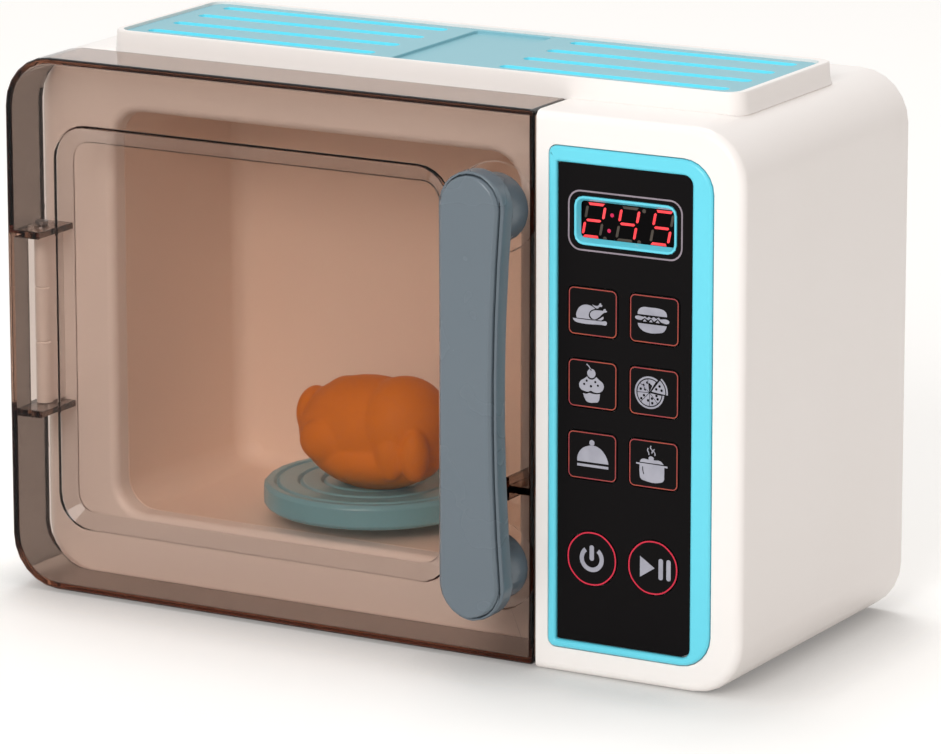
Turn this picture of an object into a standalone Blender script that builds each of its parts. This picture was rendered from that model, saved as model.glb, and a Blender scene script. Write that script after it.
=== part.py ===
"""A toy microwave oven with a smoked swinging door, a geared turntable and eight sprung keys.

Metres, +Z up. The origin is the centre of the flat base, and the door looks towards -Y.
"""

import math

import bmesh
import bpy
from mathutils import Matrix

# Fits that every piece shares.
CLEARANCE = 0.0003
OVERRUN = 0.004
SMALLEST_RADIUS = 0.0003
CORNER_STEPS = 6
SMALL_STEPS = 2
EDGE_STEPS = 3
SMOOTH_ANGLE = 35.0

# Housing.
WIDTH = 0.260
DEPTH = 0.112
HEIGHT = 0.1726
WALL = 0.0022
CORNER_RADIUS = 0.0165
EDGE_ROUND = 0.003
BACK_ROUND = 0.0015
CONTROL_WIDTH = 0.0697
FRAME_SETBACK = 0.0209
FRAME_ROUND = 0.0035
PARTITION_WALL = 0.002
CONTROL_WALL = 0.0026
PANEL_WALL = 0.003
CONTROL_EDGE_SHARES = (0.12, 1.0, 1.0, 1.0)

# Raised platform on the top and its blue inlay.
PLATFORM_HEIGHT = 0.0065
PLATFORM_LEFT = 0.025
PLATFORM_RIGHT = 0.012
PLATFORM_FRONT = 0.0212
PLATFORM_BACK = 0.025
PLATFORM_RADIUS = 0.0065
PLATFORM_SLOPE = 0.0009
PLATFORM_ROOT = 0.005
PLATFORM_SIDE_SHARES = (1.0, 0.9, 0.5, 1.2)
PLATFORM_PROFILE_SHARES = ((0.0, 0.0), (0.12, 0.5), (0.35, 0.8), (0.86, 1.0), (0.96, 1.15), (1.0, 1.45))
INLAY_LEFT = 0.0035
INLAY_RIGHT = 0.0033
INLAY_FRONT = 0.0018
INLAY_BACK = 0.005
INLAY_RADIUS = 0.0045
INLAY_THICKNESS = 0.002
INLAY_SUNK = 0.0008
GROOVE_DEPTH = 0.0011
GROOVE_WIDTH = 0.0046
GROOVE_END_MARGIN = 0.006
GROOVE_ROWS = 4
GROOVE_FIRST_Y = 0.031
GROOVE_PITCH = 0.0149
LEFT_GROOVE_LENGTH = 0.082
RIGHT_GROOVE_LENGTH = 0.0777
FIELD_WIDTH = 0.027
FIELD_LEFT = 0.0965
FIELD_MARGIN = 0.0015
FIELD_RADIUS = 0.002

# Oven opening, its collar and the liner behind it.
OPENING_LEFT = 0.027
OPENING_RIGHT = 0.0173
OPENING_BOTTOM = 0.0235
OPENING_TOP = 0.0191
OPENING_RADIUS = 0.010
OPENING_ROUND = 0.003
COLLAR_WALL = 0.002
COLLAR_DEPTH = 0.0071
LINER_WALL = 0.0018
LINER_DEPTH = 0.0657
LINER_DRAFT = 0.0015
LINER_FILLET = 0.006
LINER_DRAFT_SHARES = (1.0, 1.0, 0.0, 1.0)

# Door.
DOOR_SIDE_GAP = 0.0006
DOOR_BOTTOM = 0.0008
DOOR_WALL = 0.002
DOOR_ROUND = 0.0012
DOOR_LATCH_RADIUS = 0.0015
WINDOW_LEFT = 0.0185
WINDOW_RIGHT = 0.0293
WINDOW_BOTTOM = 0.0212
WINDOW_TOP = 0.0211
WINDOW_RADIUS = 0.011
WINDOW_DEPTH = 0.0033
WINDOW_SLOPE = 0.005
RIB_THICKNESS = 0.002
RIB_REACH = 0.0095

# Hinge at the left edge.
HINGE_X = 0.005
HINGE_Y = 0.0135
HINGE_LOW = 0.0561
HINGE_HIGH = 0.116
PIN_RADIUS = 0.0012
PIN_HEAD_RADIUS = 0.0021
PIN_HEAD = 0.001
LUG_RADIUS = 0.0026
LUG_NECK_WIDTH = 0.0032
LUG_NECK_OFFSET = 0.0009
LUG_SEAM_DEPTH = 0.0004
LUG_SEAM_WIDTH = 0.0008
LUG_SEAM_SHARES = (0.36, 0.68)
NOTCH_Y = 0.0104

# Latch at the right edge.
LATCH_RIB_LOW = 0.0538
LATCH_TONGUE_X = 0.0098
LATCH_TONGUE_WIDTH = 0.0015
LATCH_TONGUE_HEIGHT = 0.007
LATCH_TONGUE_BACK = 0.029
LATCH_TONGUE_FRONT = 0.001
LATCH_SLOT_SIDE = 0.0015
LATCH_SLOT_END = 0.0018
CATCH_THICKNESS = 0.0011
CATCH_GAP = 0.0008
CATCH_FOOT = 0.0014
CATCH_BOTTOM_GAP = 0.0018

# Handle.
HANDLE_X = 0.0127
HANDLE_LOW_MARGIN = 0.0276
HANDLE_HIGH_MARGIN = 0.0282
HANDLE_END_HALF = 0.0112
HANDLE_MID_HALF = 0.0098
HANDLE_BOW = 0.0022
HANDLE_BACK_Y = 0.0098
HANDLE_THICKNESS = 0.0063
HANDLE_EDGE = 0.0009
POST_INSET = 0.0026
POST_RADIUS = 0.0108
SEAT_RADIUS = 0.014
SEAT_DEPTH = 0.0008
PLATE_END_HALF = 0.0100
PLATE_MID_HALF = 0.0088
PLATE_PROUD = 0.0015
PLATE_SUNK = 0.0013
HANDLE_END_STEPS = 6
HANDLE_BOW_STEPS = 7
HANDLE_SCREW_RADIUS = 0.0014
HANDLE_SCREW_HEAD_RADIUS = 0.0028
HANDLE_SCREW_HEAD = 0.0018
HANDLE_SCREW_LENGTH = 0.011
HANDLE_BOSS_RADIUS = 0.0042
HANDLE_BOSS_LENGTH = 0.003

# Control panel.
BEZEL_LEFT = 0.0048
BEZEL_RIGHT = 0.0101
BEZEL_BOTTOM = 0.0083
BEZEL_TOP = 0.0099
BEZEL_LEFT_RADIUS = 0.0025
BEZEL_RIGHT_RADIUS = 0.010
BEZEL_BAND_LEFT = 0.0027
BEZEL_BAND_RIGHT = 0.0066
BEZEL_BAND_BOTTOM = 0.0024
BEZEL_BAND_TOP = 0.0047
BEZEL_PROUD = 0.0009
BEZEL_POCKET = 0.0015
BEZEL_EDGE = 0.0006
OVERLAY_SUNK = 0.0002
OVERLAY_RADIUS = 0.003

# Keys.
KEY_WIDTH = 0.0166
KEY_HEIGHT = 0.0148
KEY_RADIUS = 0.0018
KEY_ROUND_RADIUS = 0.0085
KEY_COLUMN_FIRST = 0.0121
KEY_COLUMN_PITCH = 0.0207
KEY_ROW_SHARES = (0.396, 0.546, 0.696)
KEY_ROUND_ROW_SHARE = 0.18
KEY_EDGE = 0.0002
KEY_CROWN = 0.0002
KEY_FLANGE = 0.001
KEY_FLANGE_THICKNESS = 0.001
KEY_TRAVEL = 0.001
KEY_GAP = 0.0003
KEY_ROUND_SIDES = 16
KEY_NAMES = (("key_roast", "key_burger"), ("key_cupcake", "key_pizza"), ("key_cloche", "key_pot"))
ROUND_KEY_NAMES = ("key_power", "key_play")

# Display.
DISPLAY_WIDTH = 0.0343
DISPLAY_HEIGHT = 0.0148
DISPLAY_ROW_SHARE = 0.8832
DISPLAY_RADIUS = 0.003
DISPLAY_RIM = 0.0007
DISPLAY_DEPTH = 0.0025
DISPLAY_SLOPE_X = 0.0006
DISPLAY_SLOPE_Z = 0.0012
DISPLAY_GLASS = 0.001

# Electronics behind the control panel.
MAT_MARGIN = 0.003
MAT_THICKNESS = 0.001
BOARD_MARGIN = 0.0015
BOARD_THICKNESS = 0.0016
BOARD_TOP_MARGIN = 0.002
SPEAKER_RADIUS = 0.018
SPEAKER_MAGNET_RADIUS = 0.009
SPEAKER_RIM = 0.002
SPEAKER_CONE = 0.006
SPEAKER_MAGNET = 0.004
SPEAKER_X = 0.035
SPEAKER_Z = 0.111

# Turntable.
TABLE_ASIDE = 0.002
TABLE_BACK_GAP = 0.004
TABLE_RADIUS = 0.035
TABLE_TOP = 0.0125
TABLE_THICKNESS = 0.008
TABLE_EDGE = 0.0012
TABLE_RIM = 0.0032
TABLE_GROOVE = 0.0012
TABLE_GROOVE_WIDTH = 0.0018
TABLE_GROOVE_PITCH = 0.0075
TABLE_GROOVES = 3
TABLE_FOOT_RADIUS = 0.012
TABLE_DISH = 0.003
TABLE_SIDES = 30
SPINDLE_RADIUS = 0.0025
SPINDLE_HUB_RADIUS = 0.009
SPINDLE_PEG = 0.002
SPINDLE_FLANGE_RADIUS = 0.0045
SPINDLE_FLANGE = 0.0015
BUSH_WALL = 0.0018
BUSH_FLANGE = 0.0022
BUSH_FLANGE_THICKNESS = 0.0009
BUSH_REACH = 0.0022
ROUND_SIDES = 14

# Gear train under the oven floor.
GEAR_MODULE = 0.001
GEAR_BOTTOM = 0.0145
GEAR_THICKNESS = 0.004
TABLE_TEETH = 48
IDLER_TEETH = 36
PINION_TEETH = 12
GEAR_BACKLASH = 0.0004
DEDENDUM_SHARE = 1.25
PRESSURE_ANGLE = 20.0
AXLE_RADIUS = 0.0015
AXLE_HEAD_RADIUS = 0.003
AXLE_HEAD = 0.0012
BOSS_WALL = 0.0024
BOSS_FLOOR = 0.0028
SPINDLE_BOSS_HEIGHT = 0.006
MOTOR_WIDTH = 0.024
MOTOR_DEPTH = 0.018
MOTOR_SHAFT_RADIUS = 0.0013

# Rear cover and its screws.
COVER_THICKNESS = 0.003
COVER_SUNK = 0.0003
COVER_BOSS_RADIUS = 0.0035
COVER_BOSS_INSET = 0.013
COVER_SCREW_RADIUS = 0.0012
COVER_SCREW_HEAD_RADIUS = 0.0026
COVER_SCREW_HEAD = 0.0012
COVER_SCREW_LENGTH = 0.009
MID_BOSS_OFFSET = 0.0073
PRESSER_THICKNESS = 0.002
PRESSER_HEIGHT = 0.080
PRESSER_SHARES = (0.3, 0.7)
GRILLE_SLOTS = 5
GRILLE_PITCH = 0.0058
GRILLE_SLOT_WIDTH = 0.0022
GRILLE_RADIUS = 0.0155

# Battery bay in the rear cover.
CELL_RADIUS = 0.00725
CELL_LENGTH = 0.0495
CELL_NUB_RADIUS = 0.00275
CELL_NUB = 0.001
CELLS = 3
CONTACT_THICKNESS = 0.0008
BAY_WALL = 0.0016
BAY_X = 0.0325
BAY_BOTTOM = 0.0203
BAY_LEDGE = 0.0014
BAY_DOOR_THICKNESS = 0.0018
BAY_SCREW_HEAD = 0.0008
BAY_DOOR_TAB = 0.010

# Toy roast chicken.
FOOD_LENGTH = 0.054
FOOD_WIDTH = 0.040
FOOD_HEIGHT = 0.036
FOOD_ASIDE = 0.0035
FOOD_FORWARD = 0.006
FOOD_RINGS = 8
FOOD_SIDES = 12
FOOD_LUMPS_SHARES = (
    (0.02, 0.0, 0.50, 0.47, 0.50, 0.50),
    (-0.33, -0.20, 0.66, 0.16, 0.22, 0.24),
    (-0.33, 0.22, 0.64, 0.16, 0.22, 0.24),
    (0.12, -0.30, 0.40, 0.26, 0.20, 0.30),
    (0.12, 0.30, 0.40, 0.26, 0.20, 0.30),
    (0.16, 0.0, 0.68, 0.26, 0.34, 0.32),
)

# Places that several pieces share.
LEFT = -WIDTH / 2
RIGHT = WIDTH / 2
FRONT = -DEPTH / 2
BACK = DEPTH / 2
PARTITION_X = RIGHT - CONTROL_WIDTH
FRAME_Y = FRONT + FRAME_SETBACK
COLLAR_END = FRAME_Y + COLLAR_DEPTH
LINER_FRONT = COLLAR_END + CLEARANCE
LINER_BACK = LINER_FRONT + LINER_DEPTH
COVER_BACK = BACK - COVER_SUNK
COVER_Y = COVER_BACK - COVER_THICKNESS
HINGE = (LEFT + HINGE_X, FRONT + HINGE_Y)
DOOR_RIGHT = PARTITION_X - DOOR_SIDE_GAP
DOOR_BACK = FRAME_Y - CLEARANCE
TONGUE_X = DOOR_RIGHT - LATCH_TONGUE_X
TONGUE_Z = LATCH_RIB_LOW + RIB_THICKNESS / 2
HANDLE_CENTRE_X = DOOR_RIGHT - HANDLE_X
HANDLE_LOW_Z = DOOR_BOTTOM + HANDLE_LOW_MARGIN
HANDLE_HIGH_Z = HEIGHT - HANDLE_HIGH_MARGIN
HANDLE_POSTS_Z = (HANDLE_LOW_Z + POST_INSET, HANDLE_HIGH_Z - POST_INSET)
TABLE_X = (LEFT + OPENING_LEFT + PARTITION_X - OPENING_RIGHT) / 2 + TABLE_ASIDE
TABLE_CENTRE = (TABLE_X, LINER_BACK - TABLE_BACK_GAP - TABLE_RADIUS)
IDLER_CENTRE = (TABLE_X + GEAR_MODULE * (TABLE_TEETH + IDLER_TEETH) / 2, TABLE_CENTRE[1])
PINION_CENTRE = (IDLER_CENTRE[0], IDLER_CENTRE[1] + GEAR_MODULE * (IDLER_TEETH + PINION_TEETH) / 2)
GEAR_TOP = GEAR_BOTTOM + GEAR_THICKNESS
TABLE_TOP_Z = OPENING_BOTTOM + TABLE_TOP
TABLE_BOTTOM_Z = TABLE_TOP_Z - TABLE_THICKNESS
MAT_Y = FRONT + PANEL_WALL + CLEARANCE + KEY_FLANGE_THICKNESS + KEY_TRAVEL + CLEARANCE
BOARD_Y = MAT_Y + MAT_THICKNESS + CLEARANCE
CELL_PITCH = 2 * (CELL_RADIUS + CLEARANCE)
BAY_LENGTH = CELL_LENGTH + CELL_NUB + 2 * (CONTACT_THICKNESS + 2 * CLEARANCE)
BAY_HEIGHT = CELLS * CELL_PITCH
BAY_TOP = BAY_BOTTOM + BAY_HEIGHT
BAY_CENTRE_X = PARTITION_X + BAY_X
BAY_DOOR_Y = COVER_BACK - BAY_DOOR_THICKNESS
BAY_FLOOR_Y = BAY_DOOR_Y - 2 * CLEARANCE - CELL_PITCH

# Colours, roughness and metallic value, one set for each kind of piece.
WHITE = ("F6F5F2", 0.32, 0.0)
CREAM = ("E9DFD3", 0.45, 0.0)
BLUE = ("5FD8EA", 0.35, 0.0)
SMOKE = ("A88F80", 0.12, 0.0)
GREY = ("70808A", 0.38, 0.0)
BLACK = ("171216", 0.18, 0.0)
TEAL = ("6FA5A8", 0.45, 0.0)
ORANGE = ("C0601A", 0.55, 0.0)
NYLON = ("E4E4DC", 0.5, 0.0)
STEEL = ("B9BCC0", 0.3, 1.0)
GREEN = ("2F6B4A", 0.5, 0.0)
RUBBER = ("9A9EA3", 0.7, 0.0)
CELL = ("3C3F45", 0.35, 0.0)


def clear_scene():
    for thing in list(bpy.data.objects):
        bpy.data.objects.remove(thing, do_unlink=True)


def linear(code):
    """The linear colour of a six-figure sRGB code."""
    channels = [int(code[place : place + 2], 16) / 255 for place in (0, 2, 4)]
    return [c / 12.92 if c <= 0.04045 else ((c + 0.055) / 1.055) ** 2.4 for c in channels] + [1.0]


def paint(thing, look):
    code, roughness, metallic = look
    material = bpy.data.materials.new(thing.name)
    material.use_nodes = True
    shader = material.node_tree.nodes["Principled BSDF"]
    shader.inputs["Base Color"].default_value = linear(code)
    shader.inputs["Roughness"].default_value = roughness
    shader.inputs["Metallic"].default_value = metallic
    thing.data.materials.append(material)


def finish(name, work, look):
    """An object of the mesh, painted, or a hidden cutter or filler where it has no look."""
    bmesh.ops.recalc_face_normals(work, faces=work.faces)
    mesh = bpy.data.meshes.new(name)
    work.to_mesh(mesh)
    work.free()
    mesh.shade_smooth()
    mesh.set_sharp_from_angle(angle=math.radians(SMOOTH_ANGLE))
    thing = bpy.data.objects.new(name, mesh)
    bpy.context.scene.collection.objects.link(thing)
    if look:
        paint(thing, look)
    else:
        thing.hide_render = True
        thing.display_type = "WIRE"
    return thing


def skin(name, rings, look=None, wrap=False):
    """A closed solid over rings of equal count, with flat ends or, wrapped, joined end to start."""
    work = bmesh.new()
    loops = [[work.verts.new(point) for point in ring] for ring in rings]
    pairs = list(zip(loops, loops[1:]))
    if wrap:
        pairs.append((loops[-1], loops[0]))
    else:
        work.faces.new(loops[0][::-1])
        work.faces.new(loops[-1])
    for lower, upper in pairs:
        for place in range(len(lower)):
            after = (place + 1) % len(lower)
            work.faces.new((lower[place], lower[after], upper[after], upper[place]))
    return finish(name, work, look)


def combine(target, piece, operation):
    change = target.modifiers.new(piece.name, "BOOLEAN")
    change.operation = operation
    change.object = piece
    return target


def cut(target, *cutters):
    for cutter in cutters:
        combine(target, cutter, "DIFFERENCE")
    return target


def join(target, *pieces):
    for piece in pieces:
        combine(target, piece, "UNION")
    return target


def box_shape(left, right, low, high, radius=0.0):
    """A rectangle as (left, right, low, high, radii), its radii from the lower left anticlockwise."""
    radii = radius if isinstance(radius, tuple) else (radius,) * 4
    return (left, right, low, high, radii)


def inset(shape, distance, shares=(1.0, 1.0, 1.0, 1.0)):
    """The rectangle with its left, right, low and high sides moved in by shares of the distance."""
    left, right, low, high, radii = shape
    kept = tuple(radius and max(radius - distance, SMALLEST_RADIUS) for radius in radii)
    left += distance * shares[0]
    right -= distance * shares[1]
    low += distance * shares[2]
    high -= distance * shares[3]
    return (left, right, low, high, kept)


def outline(shape, steps=CORNER_STEPS):
    """The points of a rectangle with round corners, or square ones where the radius is zero."""
    left, right, low, high, radii = shape
    corners = ((left, low, 1, 1), (right, low, -1, 1), (right, high, -1, -1), (left, high, 1, -1))
    points = []
    for quarter, (radius, (across, up, inward_x, inward_z)) in enumerate(zip(radii, corners)):
        if not radius:
            points.append((across, up))
            continue
        for step in range(steps + 1):
            angle = math.pi * (1 + quarter / 2 + step / steps / 2)
            points.append(
                (
                    across + radius * (inward_x + math.cos(angle)),
                    up + radius * (inward_z + math.sin(angle)),
                )
            )
    return points


def circle(centre, radius, sides=ROUND_SIDES, turn=0.0):
    angles = [turn + 2 * math.pi * side / sides for side in range(sides)]
    return [(centre[0] + radius * math.cos(a), centre[1] + radius * math.sin(a)) for a in angles]


def at_x(points, x):
    return [(x, y, z) for y, z in points]


def at_y(points, y):
    return [(x, y, z) for x, z in points]


def at_z(points, z):
    return [(x, y, z) for x, y in points]


def block(name, shape, start, end, look=None, place=at_y, steps=CORNER_STEPS):
    """A straight bar of the rounded rectangle from start to end."""
    points = outline(shape, steps)
    return skin(name, [place(points, start), place(points, end)], look)


def turned(name, centre, profile, look=None, place=at_z, sides=ROUND_SIDES, wrap=False):
    """A turned solid whose profile is a list of (radius, distance along the axis)."""
    return skin(name, [place(circle(centre, radius, sides), along) for radius, along in profile], look, wrap)


def quarter_round(radius):
    """(inset, depth) pairs that run round an edge from its face to its side."""
    angles = [math.pi * step / EDGE_STEPS / 2 for step in range(EDGE_STEPS + 1)]
    return [(radius * (1 - math.sin(angle)), radius * (1 - math.cos(angle))) for angle in angles]


def pivot(name, location, *pieces):
    """An empty on a joint's axis that carries the pieces where they are."""
    empty = bpy.data.objects.new(name, None)
    empty.location = location
    bpy.context.scene.collection.objects.link(empty)
    for piece in pieces:
        piece.parent = empty
        piece.matrix_parent_inverse = Matrix.Translation(location).inverted()
    return empty


def housing_shape():
    return box_shape(LEFT, RIGHT, 0, HEIGHT, CORNER_RADIUS)


def control_shape():
    return box_shape(PARTITION_X, RIGHT, 0, HEIGHT, (0.0, CORNER_RADIUS, CORNER_RADIUS, 0.0))


def interior_shape():
    return inset(housing_shape(), WALL)


def opening_shape():
    return box_shape(
        LEFT + OPENING_LEFT,
        PARTITION_X - OPENING_RIGHT,
        OPENING_BOTTOM,
        HEIGHT - OPENING_TOP,
        OPENING_RADIUS,
    )


def platform_foot():
    return box_shape(
        LEFT + PLATFORM_LEFT,
        RIGHT - PLATFORM_RIGHT,
        FRONT + PLATFORM_FRONT,
        BACK - PLATFORM_BACK,
        PLATFORM_RADIUS,
    )


def inlay_shape():
    left, right, low, high, _ = platform_foot()
    return box_shape(
        left + INLAY_LEFT, right - INLAY_RIGHT, low + INLAY_FRONT, high - INLAY_BACK, INLAY_RADIUS
    )


def bezel_outer():
    return box_shape(
        PARTITION_X + BEZEL_LEFT,
        RIGHT - BEZEL_RIGHT,
        BEZEL_BOTTOM,
        HEIGHT - BEZEL_TOP,
        (BEZEL_LEFT_RADIUS, BEZEL_RIGHT_RADIUS, BEZEL_RIGHT_RADIUS, BEZEL_LEFT_RADIUS),
    )


def bezel_inner():
    left, right, low, high, _ = bezel_outer()
    return box_shape(
        left + BEZEL_BAND_LEFT,
        right - BEZEL_BAND_RIGHT,
        low + BEZEL_BAND_BOTTOM,
        high - BEZEL_BAND_TOP,
        (SMALLEST_RADIUS, OVERLAY_RADIUS, OVERLAY_RADIUS, SMALLEST_RADIUS),
    )


def display_shape():
    left, right, low, high, _ = bezel_inner()
    middle = (left + right) / 2
    centre_z = low + (high - low) * DISPLAY_ROW_SHARE
    return box_shape(
        middle - DISPLAY_WIDTH / 2,
        middle + DISPLAY_WIDTH / 2,
        centre_z - DISPLAY_HEIGHT / 2,
        centre_z + DISPLAY_HEIGHT / 2,
        DISPLAY_RADIUS,
    )


def key_places():
    """(name, outline) of each key, with the outline of the key's own side walls."""
    left, _, low, high, _ = bezel_inner()
    columns = [left + KEY_COLUMN_FIRST + column * KEY_COLUMN_PITCH for column in range(2)]
    for share, names in zip(KEY_ROW_SHARES, reversed(KEY_NAMES)):
        middle = low + (high - low) * share
        for name, x in zip(names, columns):
            yield (
                name,
                box_shape(
                    x - KEY_WIDTH / 2,
                    x + KEY_WIDTH / 2,
                    middle - KEY_HEIGHT / 2,
                    middle + KEY_HEIGHT / 2,
                    KEY_RADIUS,
                ),
            )
    middle = low + (high - low) * KEY_ROUND_ROW_SHARE
    for name, x in zip(ROUND_KEY_NAMES, columns):
        yield (
            name,
            box_shape(
                x - KEY_ROUND_RADIUS,
                x + KEY_ROUND_RADIUS,
                middle - KEY_ROUND_RADIUS,
                middle + KEY_ROUND_RADIUS,
                KEY_ROUND_RADIUS,
            ),
        )


def key_outline(shape):
    """Square keys have small corners of few steps, and round ones are all corner."""
    if 2 * shape[4][0] > shape[3] - shape[2] - KEY_EDGE:
        middle = ((shape[0] + shape[1]) / 2, (shape[2] + shape[3]) / 2)
        return circle(middle, (shape[1] - shape[0]) / 2, KEY_ROUND_SIDES)
    return outline(shape, SMALL_STEPS)


def cover_screw_places():
    """The six screws of the rear cover: the housing's corners and two beside the oven's right wall."""
    low = COVER_BOSS_INSET
    high = HEIGHT - COVER_BOSS_INSET
    for x in (LEFT + COVER_BOSS_INSET, PARTITION_X - MID_BOSS_OFFSET, RIGHT - COVER_BOSS_INSET):
        for z in (low, high):
            yield x, z


def rounded_rings(shape, start, end, front_round, back_round, shares=(1.0, 1.0, 1.0, 1.0)):
    """Rings of a solid along Y whose front and back edges are round."""
    rings = [
        at_y(outline(inset(shape, inward, shares)), start + along)
        for inward, along in quarter_round(front_round)
    ]
    if back_round:
        rings += [
            at_y(outline(inset(shape, inward, shares)), end - along)
            for inward, along in reversed(quarter_round(back_round))
        ]
    else:
        rings.append(at_y(outline(shape), end))
    return rings


def platform():
    """The raised top: it grows out of the roof with a hollow root and has soft upper edges."""
    foot = platform_foot()
    root = inset(foot, PLATFORM_ROOT)
    rings = [at_z(outline(root), HEIGHT - PLATFORM_ROOT)]
    for height_share, inset_share in PLATFORM_PROFILE_SHARES:
        shape = inset(foot, PLATFORM_SLOPE * inset_share, PLATFORM_SIDE_SHARES)
        level = HEIGHT - CLEARANCE + (PLATFORM_HEIGHT + CLEARANCE) * height_share
        rings.append(at_z(outline(shape), level))
    return skin("platform", rings)


def opening_cutter():
    """The oven opening with its round front edge."""
    shape = opening_shape()
    rings = [at_y(outline(inset(shape, -OPENING_ROUND)), FRAME_Y - OVERRUN)]
    for outward, along in quarter_round(OPENING_ROUND):
        rings.append(at_y(outline(inset(shape, -outward)), FRAME_Y + along))
    rings.append(at_y(outline(shape), COLLAR_END + OVERRUN))
    return skin("opening_cutter", rings)


def hinge_lug():
    """The barrel that holds the pin and its neck from the front frame, with two moulding seams."""
    low = HINGE_LOW + RIB_THICKNESS + CLEARANCE
    high = HINGE_HIGH - RIB_THICKNESS - CLEARANCE
    seams = [low + (high - low) * share for share in LUG_SEAM_SHARES]
    profile = [(LUG_RADIUS, low)]
    for seam in seams:
        profile += [
            (LUG_RADIUS, seam - LUG_SEAM_WIDTH / 2),
            (LUG_RADIUS - LUG_SEAM_DEPTH, seam),
            (LUG_RADIUS, seam + LUG_SEAM_WIDTH / 2),
        ]
    profile.append((LUG_RADIUS, high))
    barrel = turned("lug_barrel", HINGE, profile)
    neck = block(
        "lug_neck",
        box_shape(
            HINGE[0] + LUG_NECK_OFFSET - LUG_NECK_WIDTH / 2,
            HINGE[0] + LUG_NECK_OFFSET + LUG_NECK_WIDTH / 2,
            HINGE[1],
            FRAME_Y + WALL / 2,
        ),
        low + LUG_SEAM_DEPTH,
        high - LUG_SEAM_DEPTH,
        place=at_z,
    )
    return barrel, neck


def latch_slot():
    return block(
        "latch_slot",
        box_shape(
            TONGUE_X - LATCH_TONGUE_WIDTH / 2 - LATCH_SLOT_SIDE,
            TONGUE_X + LATCH_TONGUE_WIDTH / 2 + LATCH_SLOT_SIDE,
            TONGUE_Z - LATCH_TONGUE_HEIGHT / 2 - LATCH_SLOT_END,
            TONGUE_Z + LATCH_TONGUE_HEIGHT / 2 + LATCH_SLOT_END,
        ),
        FRAME_Y - OVERRUN,
        FRAME_Y + WALL + OVERRUN,
    )


def floor_boss(name, centre, shaft_radius, top):
    """A blind bearing on the inside of the base and the bore that goes into it."""
    outer = shaft_radius + CLEARANCE + BOSS_WALL
    boss = turned(name, centre, [(outer, WALL / 2), (outer, top)])
    bore = turned(
        name + "_bore",
        centre,
        [(shaft_radius + CLEARANCE, WALL + BOSS_FLOOR), (shaft_radius + CLEARANCE, top + OVERRUN)],
    )
    return boss, bore


def cover_bosses():
    """The long posts that the rear cover's screws go into, with their pilot holes."""
    end = COVER_Y - CLEARANCE
    for number, (x, z) in enumerate(cover_screw_places()):
        in_control = x > PARTITION_X
        start = FRONT + (BEZEL_POCKET + PANEL_WALL) / 2 if in_control else FRAME_Y + WALL / 2
        post = turned(
            f"cover_boss_{number}",
            (x, z),
            [(COVER_BOSS_RADIUS, start), (COVER_BOSS_RADIUS, end)],
            place=at_y,
            sides=KEY_ROUND_SIDES // 2,
        )
        hole_radius = COVER_SCREW_RADIUS + CLEARANCE
        hole = turned(
            f"cover_pilot_{number}",
            (x, z),
            [(hole_radius, end - COVER_SCREW_LENGTH - OVERRUN), (hole_radius, end + OVERRUN)],
            place=at_y,
            sides=KEY_ROUND_SIDES // 2,
        )
        yield post, hole


def body_shell():
    """The white housing: an oven box and a control section that stands forward of it."""
    shell = skin(
        "body_shell", rounded_rings(housing_shape(), FRAME_Y, BACK, FRAME_ROUND, BACK_ROUND), WHITE
    )
    control_rings = rounded_rings(
        control_shape(), FRONT, FRAME_Y + FRAME_ROUND, EDGE_ROUND, 0, CONTROL_EDGE_SHARES
    )
    join(shell, skin("control_block", control_rings), platform())
    control_hollow = box_shape(
        PARTITION_X + PARTITION_WALL,
        RIGHT - CONTROL_WALL,
        CONTROL_WALL,
        HEIGHT - CONTROL_WALL,
        (0.0, CORNER_RADIUS - CONTROL_WALL, CORNER_RADIUS - CONTROL_WALL, 0.0),
    )
    cut(
        shell,
        block("control_hollow", control_hollow, FRONT + PANEL_WALL, FRAME_Y + WALL + OVERRUN),
        block("oven_hollow", interior_shape(), FRAME_Y + WALL, BACK + OVERRUN),
    )
    collar = block("collar", inset(opening_shape(), -COLLAR_WALL), FRAME_Y + WALL / 2, COLLAR_END)
    join(shell, collar, *hinge_lug())
    cut(shell, opening_cutter(), latch_slot())
    cut(shell, pin_cutter("lug_bore"))
    spindle_boss = floor_boss("spindle_boss", TABLE_CENTRE, SPINDLE_RADIUS, WALL + SPINDLE_BOSS_HEIGHT)
    idler_boss = floor_boss("idler_boss", IDLER_CENTRE, AXLE_RADIUS, GEAR_BOTTOM - CLEARANCE)
    for boss, bore in (spindle_boss, idler_boss, *cover_bosses()):
        join(shell, boss)
        cut(shell, bore)
    pocket = inset(bezel_outer(), -CLEARANCE)
    cut(shell, block("bezel_pocket", pocket, FRONT - OVERRUN, FRONT + BEZEL_POCKET))
    cut(shell, display_hole("panel_display_hole"), *key_holes("panel"))
    inlay_hole = inset(inlay_shape(), -CLEARANCE)
    inlay_floor = HEIGHT + PLATFORM_HEIGHT - INLAY_SUNK - INLAY_THICKNESS - CLEARANCE
    cut(
        shell,
        block(
            "inlay_recess",
            inlay_hole,
            inlay_floor,
            HEIGHT + PLATFORM_HEIGHT + OVERRUN,
            place=at_z,
        ),
    )
    return shell


def pin_cutter(name):
    radius = PIN_RADIUS + CLEARANCE
    return turned(
        name, HINGE, [(radius, HINGE_LOW - OVERRUN), (radius, HINGE_HIGH + OVERRUN)], sides=ROUND_SIDES
    )


def display_hole(name):
    hole = inset(display_shape(), -CLEARANCE)
    return block(name, hole, FRONT - OVERRUN, FRONT + PANEL_WALL + OVERRUN, steps=SMALL_STEPS + 1)


def key_holes(name):
    for key, shape in key_places():
        points = key_outline(inset(shape, -KEY_GAP))
        yield skin(
            f"{name}_{key}_hole",
            [at_y(points, FRONT - OVERRUN), at_y(points, FRONT + PANEL_WALL + OVERRUN)],
        )


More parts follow.
